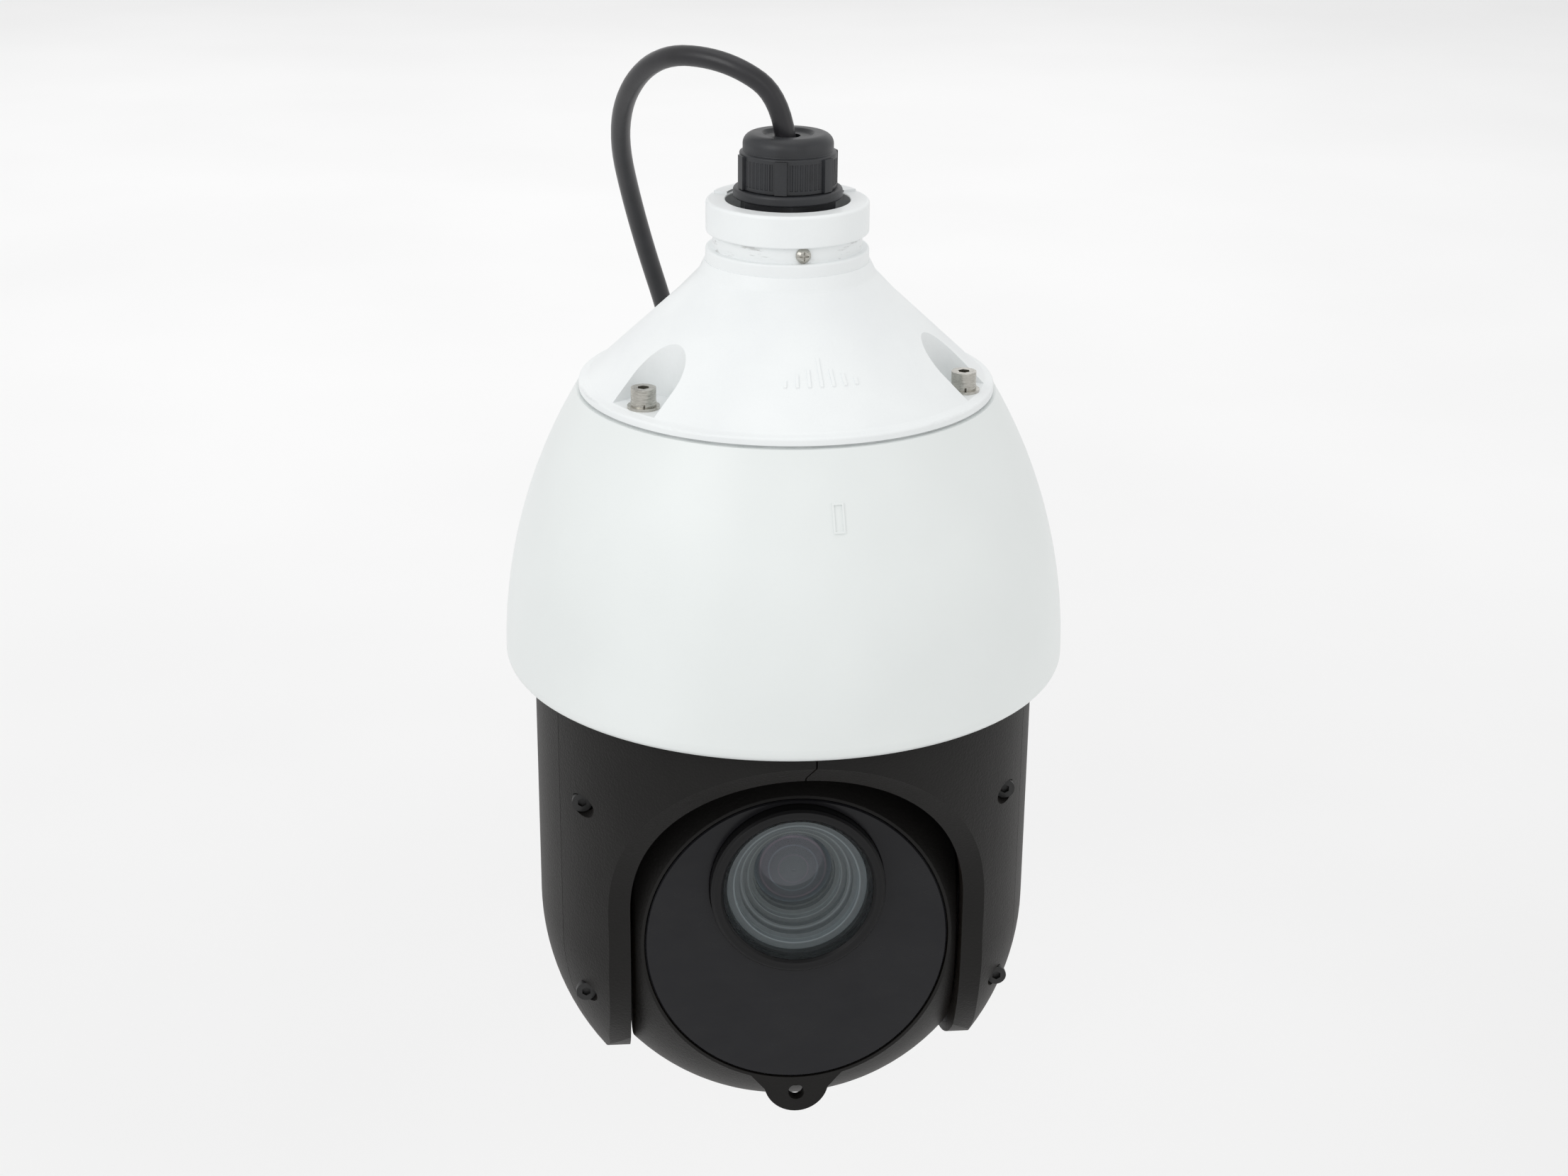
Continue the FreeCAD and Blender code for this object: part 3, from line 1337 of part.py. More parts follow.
export("module_front_shell", place(front_shell()))
export("module_rear_shell", place(rear_shell()))
export("module_seal", place(module_seal()))
export("module_screws", [place(s) for s in module_screws()])
export("front_plate", place(front_plate()))
export("lens_bezel", place(lens_bezel()))
export("window", place(window()))
export("front_element", place(front_element()))
export("lens_barrel", place(lens_barrel()))
export("zoom_housing", [place(s) for s in [zoom_housing()] + guide_rods()])
export("zoom_group", [place(s) for s in carriage(zoom_y, zoom_lens_r)])
export("focus_group", [place(s) for s in carriage(focus_y, focus_lens_r)])
export("sensor_board", [place(s) for s in sensor_board()])
export("infrared_board", [place(s) for s in infrared_unit()])
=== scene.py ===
import bpy
import math
from mathutils import Matrix, Vector


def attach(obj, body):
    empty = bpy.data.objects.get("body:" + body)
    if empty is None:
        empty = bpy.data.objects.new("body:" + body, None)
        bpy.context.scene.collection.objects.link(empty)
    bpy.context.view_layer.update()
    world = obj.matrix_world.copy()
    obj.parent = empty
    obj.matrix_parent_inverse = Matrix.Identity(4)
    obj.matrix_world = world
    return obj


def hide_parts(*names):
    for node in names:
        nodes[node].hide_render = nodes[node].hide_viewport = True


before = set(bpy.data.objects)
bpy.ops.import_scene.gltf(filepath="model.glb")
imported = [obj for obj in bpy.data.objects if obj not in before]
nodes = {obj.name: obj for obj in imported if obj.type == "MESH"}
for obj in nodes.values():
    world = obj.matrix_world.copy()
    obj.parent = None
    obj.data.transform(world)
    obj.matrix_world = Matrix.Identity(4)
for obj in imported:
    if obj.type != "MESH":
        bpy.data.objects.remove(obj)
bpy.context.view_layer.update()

# ---------------------------------------------------------------- Camera
# A longish lens looks down at the hanging camera, from in front of it and a little to the left.
# The horizon is half a degree off level.
turn, dip, roll = (math.radians(a) for a in (5.5, 21.3, 0.55))
camera_reach = 0.700
camera_height = 0.156
forward = Vector((math.sin(turn) * math.cos(dip), math.cos(turn) * math.cos(dip), -math.sin(dip)))
level = Vector((math.cos(turn), -math.sin(turn), 0.0))
upright = level.cross(forward)
right = level * math.cos(roll) + upright * math.sin(roll)
up = upright * math.cos(roll) - level * math.sin(roll)
lens = bpy.data.cameras.new("camera")
lens.sensor_width = 36.0
lens.lens = 58.2
camera = bpy.data.objects.new("camera", lens)
camera.matrix_world = Matrix((
    (right.x, up.x, -forward.x, -camera_reach * math.sin(turn)),
    (right.y, up.y, -forward.y, -camera_reach * math.cos(turn)),
    (right.z, up.z, -forward.z, camera_height),
    (0.0, 0.0, 0.0, 1.0),
))
bpy.context.collection.objects.link(camera)
bpy.context.scene.camera = camera
bpy.context.scene.view_settings.view_transform = "Standard"

# ---------------------------------------------------------------- Cable
# One black PVC pigtail of power and data pairs, 5.8 mm thick and about 1.1 m long. It rises out
# of the gland, bends over to the back and is wound there into four tied turns, with an in-line
# network socket hanging from its end.
cable_d = 0.0058
cable_rise = [
    (0.0, 0.0, 0.0061),
    (0.0, 0.0, 0.0267),
    (-0.0166, 0.0026, 0.0385),
    (-0.037, 0.019, 0.0375),
    (-0.047, 0.047, 0.014),
    (-0.040, 0.073, -0.022),
    (-0.027, 0.089, -0.066),
    (-0.0212, 0.0935, -0.108),
    (-0.0230, 0.0940, -0.138),
]
cable_drop = [
    (-0.0190, 0.0885, -0.172),
    (-0.0200, 0.0925, -0.190),
    (-0.0180, 0.0980, -0.207),
]
coil_middle = (0.012, -0.152)
turn_places = [
    (0.0350, 0.0940), (0.0350, 0.1001), (0.0289, 0.1001), (0.0289, 0.0940), (0.0289, 0.0915),
]
turns = 4
points_per_turn = 16
crossing_starts = 0.6       # share of a turn after which it eases over to the next one's place

points = list(cable_rise)
for step in range(1, turns * points_per_turn):
    whole, part = divmod(step / points_per_turn, 1.0)
    ease = min(1.0, max(0.0, (part - crossing_starts) / (1.0 - crossing_starts)))
    ease = ease * ease * (3 - 2 * ease)
    radius, depth = (
        a + (b - a) * ease for a, b in zip(turn_places[int(whole)], turn_places[int(whole) + 1])
    )
    angle = math.pi + 2 * math.pi * part
    across = coil_middle[0] + radius * math.cos(angle)
    points.append((across, depth, coil_middle[1] + radius * math.sin(angle)))
points += cable_drop

# The points carry the cable's radius and the bevel is 1, because the curve's box grows by the
# points' own radius, which would otherwise be a metre.
curve = bpy.data.curves.new("cable_jacket", "CURVE")
curve.dimensions = "3D"
curve.bevel_depth = 1.0
curve.bevel_resolution = 8
curve.resolution_u = 10
curve.use_fill_caps = True
spline = curve.splines.new("NURBS")
spline.points.add(len(points) - 1)
for place, point in zip(spline.points, points):
    place.co = (*point, 1.0)
    place.radius = cable_d / 2
spline.order_u = 3
spline.use_endpoint_u = True
cable = bpy.data.objects.new("cable_jacket", curve)
bpy.context.collection.objects.link(cable)
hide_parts("cable", "cable_coil", "cable_tail")
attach(cable, "head")


def colour(code):
    """sRGB hex to the linear colour that the shaders take."""
    parts = [int(code[k:k + 2], 16) / 255 for k in (1, 3, 5)]
    return tuple(p / 12.92 if p <= 0.04045 else ((p + 0.055) / 1.055) ** 2.4 for p in parts) + (1.0,)


def surface(name, **sockets):
    """Starts a material with its own shader, whose sockets are set by name."""
    material = bpy.data.materials.new(name)
    material.use_nodes = True
    tree = material.node_tree
    shader = tree.nodes["Principled BSDF"]
    for key, value in sockets.items():
        shader.inputs[key.replace("_", " ")].default_value = value
    return material, tree, shader


def add(tree, kind, sockets, **settings):
    """Adds a node. A socket takes a value, or another node's output and is linked to it."""
    made = tree.nodes.new(kind)
    for key, value in settings.items():
        setattr(made, key, value)
    for key, value in sockets.items():
        if isinstance(value, bpy.types.NodeSocket):
            tree.links.new(value, made.inputs[key])
        else:
            made.inputs[key].default_value = value
    return made


def ramp(tree, value, stops):
    """A colour ramp through (position, colour code) stops."""
    made = add(tree, "ShaderNodeValToRGB", {"Fac": value})
    band = made.color_ramp
    while len(band.elements) < len(stops):
        band.elements.new(0.5)
    for element, (position, code) in zip(band.elements, stops):
        element.position = position
        element.color = colour(code)
    return made.outputs["Color"]


def grain(size_mm):
    """Pattern scale for a feature of a real size."""
    return 1000.0 / size_mm


def finish_with(material, *names):
    """Gives CAD nodes or new pieces this material in place of their plain one."""
    for name in names:
        piece = nodes[name] if isinstance(name, str) else name
        piece.data.materials.clear()
        piece.data.materials.append(material)


# Extruded PVC: nearly black, a low gloss that runs along it, and a faint drawn grain.
pvc, tree, shader = surface("extruded_pvc", Roughness=0.34, IOR=1.52)
where = add(tree, "ShaderNodeTexCoord", {}).outputs["Object"]
cloud = add(tree, "ShaderNodeTexNoise", {"Vector": where, "Scale": grain(9.0), "Detail": 3.0})
tone = ramp(tree, cloud.outputs["Fac"], [(0.3, "#17171A"), (0.7, "#212024")])
tree.links.new(tone, shader.inputs["Base Color"])
fine = add(tree, "ShaderNodeTexNoise", {"Vector": where, "Scale": grain(0.7), "Detail": 2.0})
relief = add(tree, "ShaderNodeBump", {"Height": fine.outputs["Fac"], "Strength": 0.12, "Distance": 0.0002})
tree.links.new(relief.outputs["Normal"], shader.inputs["Normal"])
finish_with(pvc, cable, "inner_lead")

# ---------------------------------------------------------------- Gland, tie and network socket
# The cable gland is moulded black nylon 66: a hexagon and flange screwed into the collar, and a
# ribbed dome nut that squeezes a rubber seal through a slotted claw. The tie and the in-line
# socket on the cable's end are the same nylon.
nylon, tree, shader = surface("moulded_nylon", IOR=1.53)
where = add(tree, "ShaderNodeTexCoord", {}).outputs["Object"]
cloud = add(tree, "ShaderNodeTexNoise", {"Vector": where, "Scale": grain(6.0), "Detail": 4.0})
tone = ramp(tree, cloud.outputs["Fac"], [(0.25, "#1B1C1F"), (0.75, "#26282C")])
tree.links.new(tone, shader.inputs["Base Color"])
gloss = add(tree, "ShaderNodeMapRange", {"Value": cloud.outputs["Fac"], "To Min": 0.36, "To Max": 0.52})
tree.links.new(gloss.outputs["Result"], shader.inputs["Roughness"])
fine = add(tree, "ShaderNodeTexNoise", {"Vector": where, "Scale": grain(0.5), "Detail": 3.0})
relief = add(tree, "ShaderNodeBump", {"Height": fine.outputs["Fac"], "Strength": 0.18, "Distance": 0.0002})
tree.links.new(relief.outputs["Normal"], shader.inputs["Normal"])
finish_with(
    nylon, "gland_body", "gland_dome_nut", "gland_claw", "gland_locknut", "cable_tie", "network_socket",
    "slip_ring_stator", "slip_ring_rotor",
)

# Moulded rubber: dull black with a slight bloom. It seals the gland and the ball's halves.
rubber, tree, shader = surface("moulded_rubber", Roughness=0.78, IOR=1.5)
where = add(tree, "ShaderNodeTexCoord", {}).outputs["Object"]
bloom = add(tree, "ShaderNodeTexNoise", {"Vector": where, "Scale": grain(3.0), "Detail": 5.0})
tone = ramp(tree, bloom.outputs["Fac"], [(0.35, "#121212"), (0.8, "#232323")])
tree.links.new(tone, shader.inputs["Base Color"])
finish_with(rubber, "gland_seal", "module_seal")

# ---------------------------------------------------------------- Mounting collar and cap
# Pressure die-cast aluminium with a white polyester powder coat. The coat has a fine orange
# peel, and the bracket's clamp has scuffed it grey in the collar's groove.
groove_bottom = -0.0134
groove_top = -0.0088
powder, tree, shader = surface("white_powder_coat", IOR=1.5, Coat_Weight=0.12, Coat_Roughness=0.25)
where = add(tree, "ShaderNodeTexCoord", {}).outputs["Object"]
cloud = add(tree, "ShaderNodeTexNoise", {"Vector": where, "Scale": grain(35.0), "Detail": 3.0})
coat = ramp(tree, cloud.outputs["Fac"], [(0.3, "#E9ECED"), (0.7, "#F1F4F4")])
streak = add(tree, "ShaderNodeMapping", {"Vector": where, "Scale": (1.0, 1.0, 5.0)})
scuff = add(tree, "ShaderNodeTexNoise", {
    "Vector": streak.outputs["Vector"], "Scale": grain(7.0), "Detail": 8.0, "Roughness": 0.7,
})
worn = ramp(tree, scuff.outputs["Fac"], [(0.56, "#000000"), (0.66, "#FFFFFF")])
height = add(tree, "ShaderNodeSeparateXYZ", {"Vector": where}).outputs["Z"]
above = add(tree, "ShaderNodeMath", {0: height, 1: groove_bottom}, operation="GREATER_THAN")
below = add(tree, "ShaderNodeMath", {0: height, 1: groove_top}, operation="LESS_THAN")
groove = add(tree, "ShaderNodeMath", {0: above.outputs[0], 1: below.outputs[0]}, operation="MULTIPLY")
mask = add(tree, "ShaderNodeMath", {0: groove.outputs[0], 1: worn}, operation="MULTIPLY")
mask = add(tree, "ShaderNodeMath", {0: mask.outputs[0], 1: 0.55}, operation="MULTIPLY")
mixed = add(
    tree, "ShaderNodeMix", {"Factor": mask.outputs[0], "A": coat, "B": colour("#A9A8A6")}, data_type="RGBA",
)
tree.links.new(mixed.outputs["Result"], shader.inputs["Base Color"])
peel = add(tree, "ShaderNodeTexNoise", {"Vector": where, "Scale": grain(1.1), "Detail": 2.0})
gloss = add(tree, "ShaderNodeMapRange", {"Value": peel.outputs["Fac"], "To Min": 0.36, "To Max": 0.5})
tree.links.new(gloss.outputs["Result"], shader.inputs["Roughness"])
relief = add(tree, "ShaderNodeBump", {"Height": peel.outputs["Fac"], "Strength": 0.22, "Distance": 0.0003})
tree.links.new(relief.outputs["Normal"], shader.inputs["Normal"])
finish_with(powder, "mount_collar", "cap")

# Stainless steel A2: cold-headed screws and stamped washers, bright with fine drawing marks.
steel, tree, shader = surface("stainless_steel", Metallic=1.0)
where = add(tree, "ShaderNodeTexCoord", {}).outputs["Object"]
marks = add(tree, "ShaderNodeMapping", {"Vector": where, "Scale": (1.0, 1.0, 9.0)})
marks = add(tree, "ShaderNodeTexNoise", {
    "Vector": marks.outputs["Vector"], "Scale": grain(1.6), "Detail": 4.0,
})
tone = ramp(tree, marks.outputs["Fac"], [(0.3, "#A5A39C"), (0.7, "#CFCDC6")])
tree.links.new(tone, shader.inputs["Base Color"])
gloss = add(tree, "ShaderNodeMapRange", {"Value": marks.outputs["Fac"], "To Min": 0.2, "To Max": 0.38})
tree.links.new(gloss.outputs["Result"], shader.inputs["Roughness"])
finish_with(steel, "neck_screw", "cap_screws", "cap_washers", "chassis_screws", "module_screws")

# The cap sits on a moulded silicone gasket, pale grey and slightly translucent.
silicone, tree, shader = surface("moulded_silicone", Roughness=0.5, IOR=1.41, Subsurface_Weight=0.2)
shader.inputs["Subsurface Radius"].default_value = (0.002, 0.002, 0.002)
where = add(tree, "ShaderNodeTexCoord", {}).outputs["Object"]
cloud = add(tree, "ShaderNodeTexNoise", {"Vector": where, "Scale": grain(5.0), "Detail": 3.0})
tone = ramp(tree, cloud.outputs["Fac"], [(0.3, "#B9BDBD"), (0.7, "#C9CCCC")])
tree.links.new(tone, shader.inputs["Base Color"])
finish_with(silicone, "cap_gasket")

# ---------------------------------------------------------------- Dome cover
# The sun and rain cover is one injection-moulded ABS bell with a white satin paint. It is
# smoother than the cast cap, with only a fine spray grain and the faintest waviness.
paint, tree, shader = surface("white_satin_paint", IOR=1.5, Coat_Weight=0.18, Coat_Roughness=0.3)
where = add(tree, "ShaderNodeTexCoord", {}).outputs["Object"]
cloud = add(tree, "ShaderNodeTexNoise", {"Vector": where, "Scale": grain(60.0), "Detail": 3.0})
tone = ramp(tree, cloud.outputs["Fac"], [(0.3, "#E3E7E6"), (0.7, "#E9EDEC")])
tree.links.new(tone, shader.inputs["Base Color"])
spray = add(tree, "ShaderNodeTexNoise", {"Vector": where, "Scale": grain(0.6), "Detail": 2.0})
gloss = add(tree, "ShaderNodeMapRange", {"Value": spray.outputs["Fac"], "To Min": 0.34, "To Max": 0.46})
tree.links.new(gloss.outputs["Result"], shader.inputs["Roughness"])
relief = add(tree, "ShaderNodeBump", {"Height": spray.outputs["Fac"], "Strength": 0.1, "Distance": 0.0002})
tree.links.new(relief.outputs["Normal"], shader.inputs["Normal"])
finish_with(paint, "dome_cover")

# ---------------------------------------------------------------- Dust ring
# A die-cut ring of black wool felt, glued inside the dome's rim. It closes most of the space to
# the turning yoke, and keeps dust out of the drive.
felt, tree, shader = surface("wool_felt", Roughness=0.95, Sheen_Weight=0.4, Sheen_Roughness=0.6)
where = add(tree, "ShaderNodeTexCoord", {}).outputs["Object"]
nap = add(tree, "ShaderNodeTexNoise", {"Vector": where, "Scale": grain(0.8), "Detail": 6.0, "Roughness": 0.8})
tone = ramp(tree, nap.outputs["Fac"], [(0.3, "#0C0C0C"), (0.8, "#242424")])
tree.links.new(tone, shader.inputs["Base Color"])
relief = add(tree, "ShaderNodeBump", {"Height": nap.outputs["Fac"], "Strength": 0.6, "Distance": 0.0004})
tree.links.new(relief.outputs["Normal"], shader.inputs["Normal"])
finish_with(felt, "dust_ring")

# ---------------------------------------------------------------- Yoke covers and camera ball
# The yoke's two front halves, its rear shell and the ball's two shells are black ABS moulded
# in spark-eroded tools: a fine dry grain that catches the light as a brownish grey bloom.
spark, tree, shader = surface(
    "spark_textured_abs", IOR=1.54, Specular_IOR_Level=0.17,
    Sheen_Weight=0.02, Sheen_Roughness=0.35, Sheen_Tint=colour("#B08F6A"),
)
where = add(tree, "ShaderNodeTexCoord", {}).outputs["Object"]
pits = add(tree, "ShaderNodeTexVoronoi", {"Vector": where, "Scale": grain(0.75)}, feature="SMOOTH_F1")
fine = add(tree, "ShaderNodeTexNoise", {"Vector": where, "Scale": grain(0.45), "Detail": 3.0})
texture = add(tree, "ShaderNodeMath", {0: pits.outputs["Distance"], 1: fine.outputs["Fac"]}, operation="ADD")
cloud = add(tree, "ShaderNodeTexNoise", {"Vector": where, "Scale": grain(28.0), "Detail": 4.0})
tone = ramp(tree, cloud.outputs["Fac"], [(0.3, "#131211"), (0.7, "#191817")])
tree.links.new(tone, shader.inputs["Base Color"])
gloss = add(tree, "ShaderNodeMapRange", {"Value": fine.outputs["Fac"], "To Min": 0.42, "To Max": 0.6})
tree.links.new(gloss.outputs["Result"], shader.inputs["Roughness"])
relief = add(tree, "ShaderNodeBump", {"Height": texture.outputs[0], "Strength": 0.3, "Distance": 0.00025})
tree.links.new(relief.outputs["Normal"], shader.inputs["Normal"])
finish_with(
    spark, "front_cover_left", "front_cover_right", "rear_cover", "module_front_shell", "module_rear_shell",
)

# The frame behind the covers is cast aluminium with a black powder coat; its screws are blackened.
black_coat, tree, shader = surface("black_powder_coat", IOR=1.5)
where = add(tree, "ShaderNodeTexCoord", {}).outputs["Object"]
peel = add(tree, "ShaderNodeTexNoise", {"Vector": where, "Scale": grain(1.0), "Detail": 3.0})
tone = ramp(tree, peel.outputs["Fac"], [(0.3, "#121212"), (0.7, "#1D1D1D")])
tree.links.new(tone, shader.inputs["Base Color"])
gloss = add(tree, "ShaderNodeMapRange", {"Value": peel.outputs["Fac"], "To Min": 0.4, "To Max": 0.6})
tree.links.new(gloss.outputs["Result"], shader.inputs["Roughness"])
relief = add(tree, "ShaderNodeBump", {"Height": peel.outputs["Fac"], "Strength": 0.25, "Distance": 0.0003})
tree.links.new(relief.outputs["Normal"], shader.inputs["Normal"])
finish_with(black_coat, "yoke_frame", "cover_screws")

# ---------------------------------------------------------------- Front plate
# A disc of smoke-black polycarbonate that lets infrared through. It is polished flat, so it
# mirrors the room softly, and handling has left a few dull smears on it.
smoke, tree, shader = surface("smoked_polycarbonate", IOR=1.585, Specular_IOR_Level=0.2)
where = add(tree, "ShaderNodeTexCoord", {}).outputs["Object"]
smear = add(tree, "ShaderNodeMapping", {
    "Vector": where, "Scale": (1.0, 1.0, 1.7), "Rotation": (0.0, 0.5, 0.0),
})
smear = add(tree, "ShaderNodeTexNoise", {
    "Vector": smear.outputs["Vector"], "Scale": grain(24.0), "Detail": 6.0, "Roughness": 0.62,
})
tone = ramp(tree, smear.outputs["Fac"], [(0.35, "#18181B"), (0.75, "#1F1F21")])
tree.links.new(tone, shader.inputs["Base Color"])
gloss = add(tree, "ShaderNodeMapRange", {
    "Value": smear.outputs["Fac"], "From Min": 0.35, "From Max": 0.75, "To Min": 0.16, "To Max": 0.36,
})
tree.links.new(gloss.outputs["Result"], shader.inputs["Roughness"])
finish_with(smoke, "front_plate")

# ---------------------------------------------------------------- Lens bezel, window and lens
# The bezel is a turned ring of black anodised aluminium, dull with fine turning marks.
# Every pattern here is drawn about the lens's own axis.
rest_tilt = math.radians(3.7)
tilt_height = -0.211
lens_height = 0.0174


def about_lens(tree):
    """Coordinates with the lens axis along Y through their origin, and the distance from that axis."""
    where = add(tree, "ShaderNodeTexCoord", {}).outputs["Object"]
    shift = (0.0, tilt_height * math.sin(rest_tilt), -tilt_height * math.cos(rest_tilt) - lens_height)
    own = add(tree, "ShaderNodeMapping", {
        "Vector": where, "Rotation": (rest_tilt, 0.0, 0.0), "Location": shift,
    }).outputs["Vector"]
    flat = add(tree, "ShaderNodeVectorMath", {0: own, 1: (1.0, 0.0, 1.0)}, operation="MULTIPLY")
    reach = add(tree, "ShaderNodeVectorMath", {0: flat.outputs["Vector"]}, operation="LENGTH")
    return own, reach.outputs["Value"]


bezel, tree, shader = surface("black_anodised_ring", IOR=1.5, Specular_IOR_Level=0.2)
own, reach = about_lens(tree)
lines = add(tree, "ShaderNodeCombineXYZ", {"X": reach})
lines = add(tree, "ShaderNodeTexNoise", {
    "Vector": lines.outputs["Vector"], "Scale": grain(0.35), "Detail": 2.0,
})
tone = ramp(tree, lines.outputs["Fac"], [(0.3, "#131314"), (0.7, "#1B1B1C")])
tree.links.new(tone, shader.inputs["Base Color"])
gloss = add(tree, "ShaderNodeMapRange", {"Value": lines.outputs["Fac"], "To Min": 0.3, "To Max": 0.46})
tree.links.new(gloss.outputs["Result"], shader.inputs["Roughness"])
finish_with(bezel, "lens_bezel")

# Hardened window glass, anti-reflection coated: clear, with a weak blue-violet reflection.
glass, tree, shader = surface("coated_window_glass", IOR=1.5, Alpha=0.12, Specular_Tint=colour("#C9D2E6"))
own, reach = about_lens(tree)
dust = add(tree, "ShaderNodeTexNoise", {"Vector": own, "Scale": grain(11.0), "Detail": 6.0})
tone = ramp(tree, dust.outputs["Fac"], [(0.3, "#4A5050"), (0.8, "#596060")])
tree.links.new(tone, shader.inputs["Base Color"])
gloss = add(tree, "ShaderNodeMapRange", {"Value": dust.outputs["Fac"], "To Min": 0.02, "To Max": 0.1})
tree.links.new(gloss.outputs["Result"], shader.inputs["Roughness"])
finish_with(glass, "window")

# The lens tube is black polycarbonate, but it is painted mid-grey as painted light. Its stepped funnel has
# painted highlights on the lips of its steps, seen through the window as thin blue-grey rings.
funnel, tree, shader = surface("stepped_lens_tube", IOR=1.58)
own, reach = about_lens(tree)
painted_light_rings = add(tree, "ShaderNodeMapRange", {"Value": reach, "From Min": 0.010, "From Max": 0.022})
# Painted highlights: light rings at the lips of the funnel's steps, on a tube painted mid-grey.
tone = ramp(tree, painted_light_rings.outputs["Result"], [
    (0.10, "#565B5B"), (0.26, "#636A6B"), (0.30, "#868E90"), (0.34, "#5A6061"), (0.46, "#646B6D"),
    (0.49, "#8B9396"), (0.53, "#5B6163"), (0.66, "#687073"), (0.69, "#929CA0"), (0.73, "#5A6163"),
    (0.86, "#697174"), (0.89, "#969FA3"), (0.94, "#5E6567"),
])
tree.links.new(tone, shader.inputs["Base Color"])
mould = add(tree, "ShaderNodeTexNoise", {"Vector": own, "Scale": grain(1.5), "Detail": 4.0})
gloss = add(tree, "ShaderNodeMapRange", {"Value": mould.outputs["Fac"], "To Min": 0.35, "To Max": 0.55})
tree.links.new(gloss.outputs["Result"], shader.inputs["Roughness"])
finish_with(funnel, "lens_barrel")

# The front element is optical glass with a broadband coating. Its colour is painted reflection: a grey-green
# middle and thin mauve and blue rings where the elements behind it end.
element, tree, shader = surface(
    "coated_lens_glass", IOR=1.62, Roughness=0.06, Coat_Weight=0.5, Coat_Roughness=0.03,
    Specular_Tint=colour("#D8CFE6"),
)
own, reach = about_lens(tree)
painted_light_rings = add(tree, "ShaderNodeMapRange", {"Value": reach, "From Max": 0.0118})
# Painted reflections: the grey-green middle and the mauve and blue rings, with a random drift in tone.
tone = ramp(tree, painted_light_rings.outputs["Result"], [
    (0.0, "#5E6664"), (0.34, "#5A6260"), (0.37, "#746A72"), (0.40, "#555B5B"), (0.58, "#595A5C"),
    (0.61, "#7C8A92"), (0.64, "#524F54"), (0.78, "#57545A"), (0.82, "#8C7A86"), (0.86, "#4C4E53"),
    (0.93, "#5F6C75"), (0.97, "#8E9AA3"), (1.0, "#34383C"),
])
drift = add(tree, "ShaderNodeTexNoise", {"Vector": own, "Scale": grain(8.0), "Detail": 2.0})
painted_reflection_tone = add(
    tree, "ShaderNodeMix", {"Factor": drift.outputs["Fac"], "A": tone, "B": colour("#5B6064")},
    data_type="RGBA",
)
tree.links.new(painted_reflection_tone.outputs["Result"], shader.inputs["Base Color"])
finish_with(element, "front_element")

# Lens housing and carriages: flat black polycarbonate, so that no light bounces inside.
flat_black, tree, shader = surface("flat_black_polycarbonate", IOR=1.58)
where = add(tree, "ShaderNodeTexCoord", {}).outputs["Object"]
mould = add(tree, "ShaderNodeTexNoise", {"Vector": where, "Scale": grain(1.2), "Detail": 4.0})
tone = ramp(tree, mould.outputs["Fac"], [(0.3, "#101011"), (0.7, "#1B1B1D")])
tree.links.new(tone, shader.inputs["Base Color"])
gloss = add(tree, "ShaderNodeMapRange", {"Value": mould.outputs["Fac"], "To Min": 0.6, "To Max": 0.8})
tree.links.new(gloss.outputs["Result"], shader.inputs["Roughness"])
finish_with(flat_black, "zoom_housing", "zoom_group", "focus_group")

# ---------------------------------------------------------------- Drives and chassis
# Turned and cast aluminium: chassis, hub, bearing housing, motors and pulleys. It is bright grey
# with fine machining lines.
aluminium, tree, shader = surface("machined_aluminium", Metallic=1.0)
where = add(tree, "ShaderNodeTexCoord", {}).outputs["Object"]
lines = add(tree, "ShaderNodeMapping", {"Vector": where, "Scale": (0.3, 0.3, 6.0)})
lines = add(tree, "ShaderNodeTexNoise", {
    "Vector": lines.outputs["Vector"], "Scale": grain(1.0), "Detail": 5.0,
})
tone = ramp(tree, lines.outputs["Fac"], [(0.3, "#B4B5B7"), (0.7, "#CBCCCE")])
tree.links.new(tone, shader.inputs["Base Color"])
gloss = add(tree, "ShaderNodeMapRange", {"Value": lines.outputs["Fac"], "To Min": 0.28, "To Max": 0.48})
tree.links.new(gloss.outputs["Result"], shader.inputs["Roughness"])
finish_with(
    aluminium, "collar_nut", "chassis_plate", "bearing_housing", "pan_motor", "pan_motor_pulley", "pan_hub",
    "pan_pulley", "tilt_motor", "tilt_motor_pulley", "tilt_pulley",
)

# Bearing steel: ground and hardened, darker and glossier than the aluminium.
ground_steel, tree, shader = surface("ground_bearing_steel", Metallic=1.0)
where = add(tree, "ShaderNodeTexCoord", {}).outputs["Object"]
lines = add(tree, "ShaderNodeTexNoise", {"Vector": where, "Scale": grain(0.8), "Detail": 3.0})
tone = ramp(tree, lines.outputs["Fac"], [(0.3, "#9C9DA0"), (0.7, "#B2B3B6")])
tree.links.new(tone, shader.inputs["Base Color"])
gloss = add(tree, "ShaderNodeMapRange", {"Value": lines.outputs["Fac"], "To Min": 0.12, "To Max": 0.22})
tree.links.new(gloss.outputs["Result"], shader.inputs["Roughness"])
finish_with(
    ground_steel, "pan_bearing_outer_races", "pan_bearing_inner_races", "tilt_bearing_outer_races",
    "tilt_bearing_inner_races", "tilt_shafts",
)

# Drive belts: black neoprene with a slight woven grain from the cloth on their faces.
neoprene, tree, shader = surface("neoprene_belt", Roughness=0.7, IOR=1.5)
where = add(tree, "ShaderNodeTexCoord", {}).outputs["Object"]
weave = add(tree, "ShaderNodeTexVoronoi", {"Vector": where, "Scale": grain(0.6)})
tone = ramp(tree, weave.outputs["Distance"], [(0.1, "#101010"), (0.7, "#202020")])
tree.links.new(tone, shader.inputs["Base Color"])
finish_with(neoprene, "pan_belt", "tilt_belt")

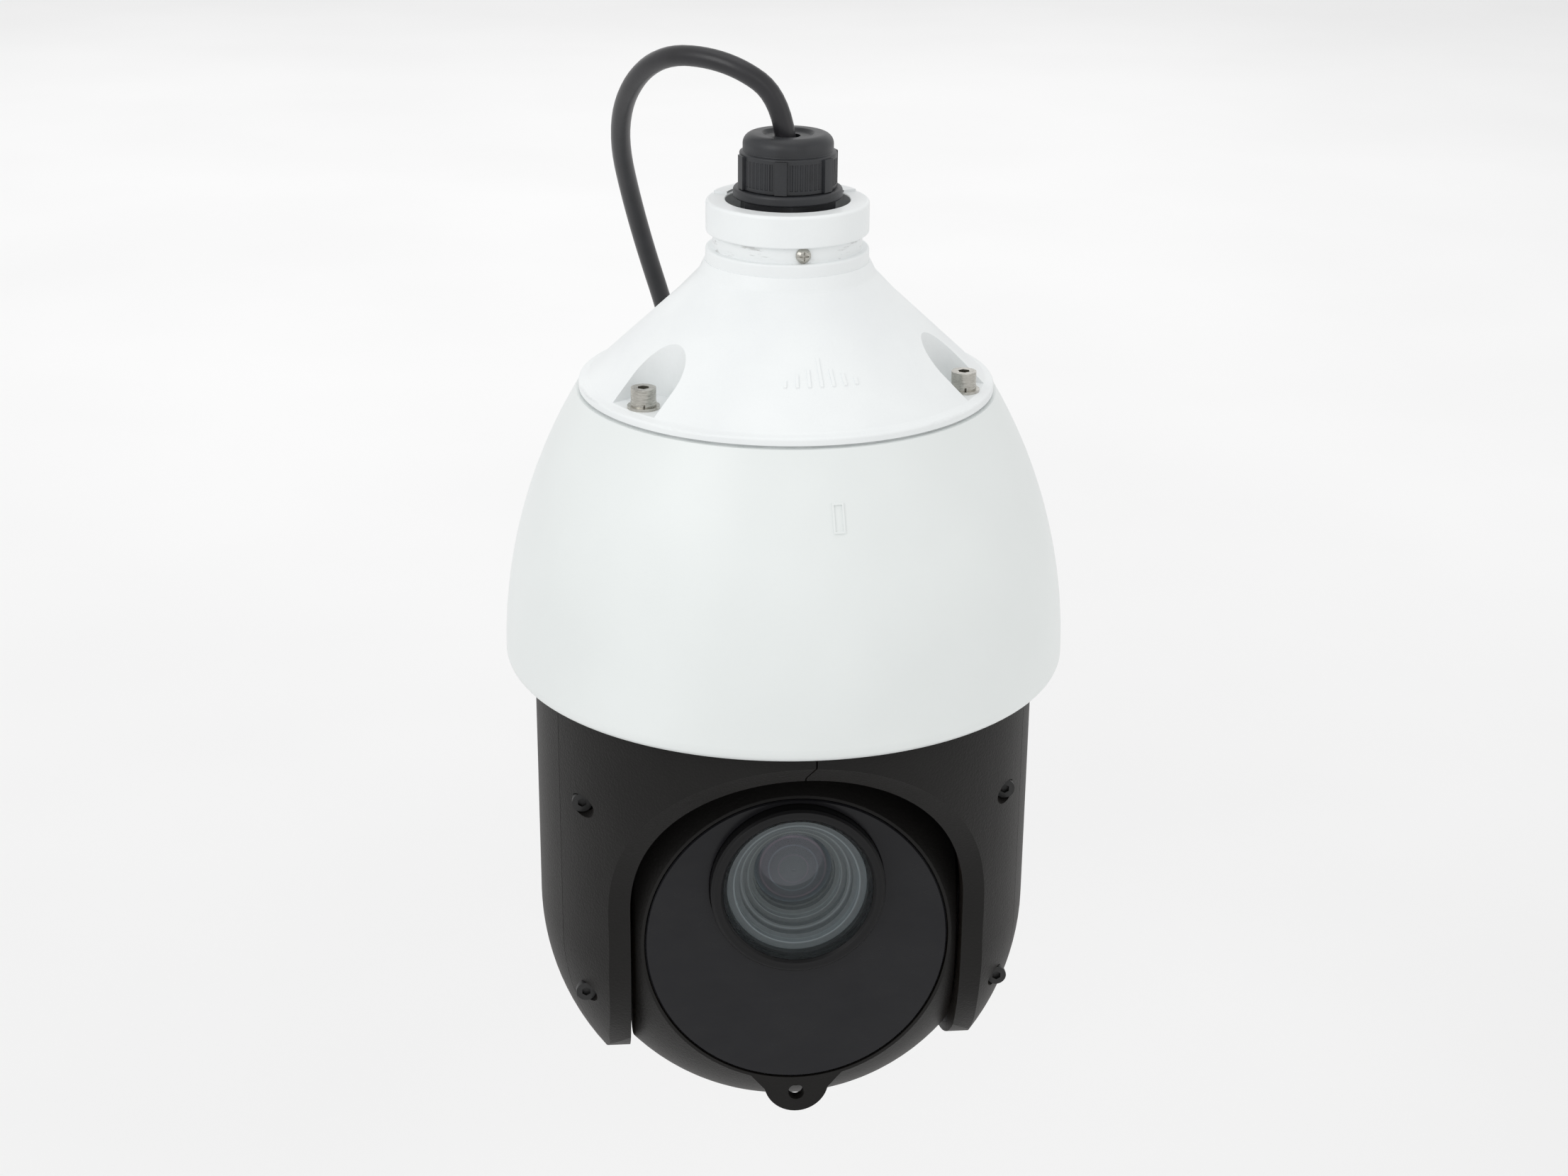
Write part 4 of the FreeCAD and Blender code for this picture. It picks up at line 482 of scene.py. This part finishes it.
# ---------------------------------------------------------------- Circuit boards
# Glass-epoxy boards under a green solder mask, with copper tracks showing through as lighter
# green lines.
board, tree, shader = surface("green_solder_mask", Roughness=0.35, IOR=1.5)
where = add(tree, "ShaderNodeTexCoord", {}).outputs["Object"]
tracks = add(tree, "ShaderNodeTexVoronoi", {"Vector": where, "Scale": grain(3.5)}, feature="DISTANCE_TO_EDGE")
tone = ramp(tree, tracks.outputs["Distance"], [(0.03, "#3F8A55"), (0.07, "#12492A")])
tree.links.new(tone, shader.inputs["Base Color"])
finish_with(board, "power_board", "main_board", "sensor_board", "infrared_board")

# ---------------------------------------------------------------- Studio
# A pale matt floor well below the hanging camera, and soft daylight lamps: a broad key from
# the upper left, a weaker one from the right, a top light, a front fill, and a wide lamp far
# behind that whitens the floor.
floor_mesh = bpy.data.meshes.new("studio_floor")
floor_half, floor_z = 30.0, -0.75
floor_mesh.from_pydata(
    [(-floor_half, -floor_half, floor_z), (floor_half, -floor_half, floor_z),
     (floor_half, floor_half, floor_z), (-floor_half, floor_half, floor_z)],
    [], [(0, 1, 2, 3)],
)
floor = bpy.data.objects.new("studio_floor", floor_mesh)
bpy.context.collection.objects.link(floor)
pale, tree, shader = surface("pale_floor", Roughness=0.9)
where = add(tree, "ShaderNodeTexCoord", {}).outputs["Object"]
cloud = add(tree, "ShaderNodeTexNoise", {"Vector": where, "Scale": 1.5, "Detail": 3.0})
tone = ramp(tree, cloud.outputs["Fac"], [(0.3, "#F4F4F4"), (0.7, "#F8F8F8")])
tree.links.new(tone, shader.inputs["Base Color"])
floor_mesh.materials.append(pale)

middle = (0.0, 0.0, -0.14)
for name, place, aim, size, power, tint in (
    ("key_light", (-0.85, -0.75, 0.55), middle, 0.7, 3.2, "#FFFFFF"),
    ("right_light", (1.15, -0.55, 0.25), middle, 0.9, 0.8, "#FFFBF5"),
    ("top_light", (0.0, 0.1, 1.3), middle, 1.0, 1.8, "#FFFFFF"),
    ("front_light", (0.1, -1.4, 0.5), middle, 0.6, 0.6, "#FFFFFF"),
    ("floor_light", (0.0, 3.4, 0.6), (0.0, 3.4, floor_z), 4.0, 15.0, "#FFFFFF"),
):
    lamp = bpy.data.lights.new(name, "AREA")
    lamp.shape = "SQUARE"
    lamp.size = size
    lamp.energy = power
    lamp.color = colour(tint)[:3]
    holder = bpy.data.objects.new(name, lamp)
    holder.location = place
    holder.rotation_mode = "QUATERNION"
    holder.rotation_quaternion = (Vector(aim) - Vector(place)).to_track_quat("-Z", "Y")
    bpy.context.collection.objects.link(holder)

world = bpy.data.worlds.new("soft_room")
world.use_nodes = True
sky = world.node_tree.nodes["Background"]
sky.inputs["Color"].default_value = colour("#FFFFFF")
sky.inputs["Strength"].default_value = 0.82
bpy.context.scene.world = world

# ---------------------------------------------------------------- Finish
bpy.context.view_layer.update()
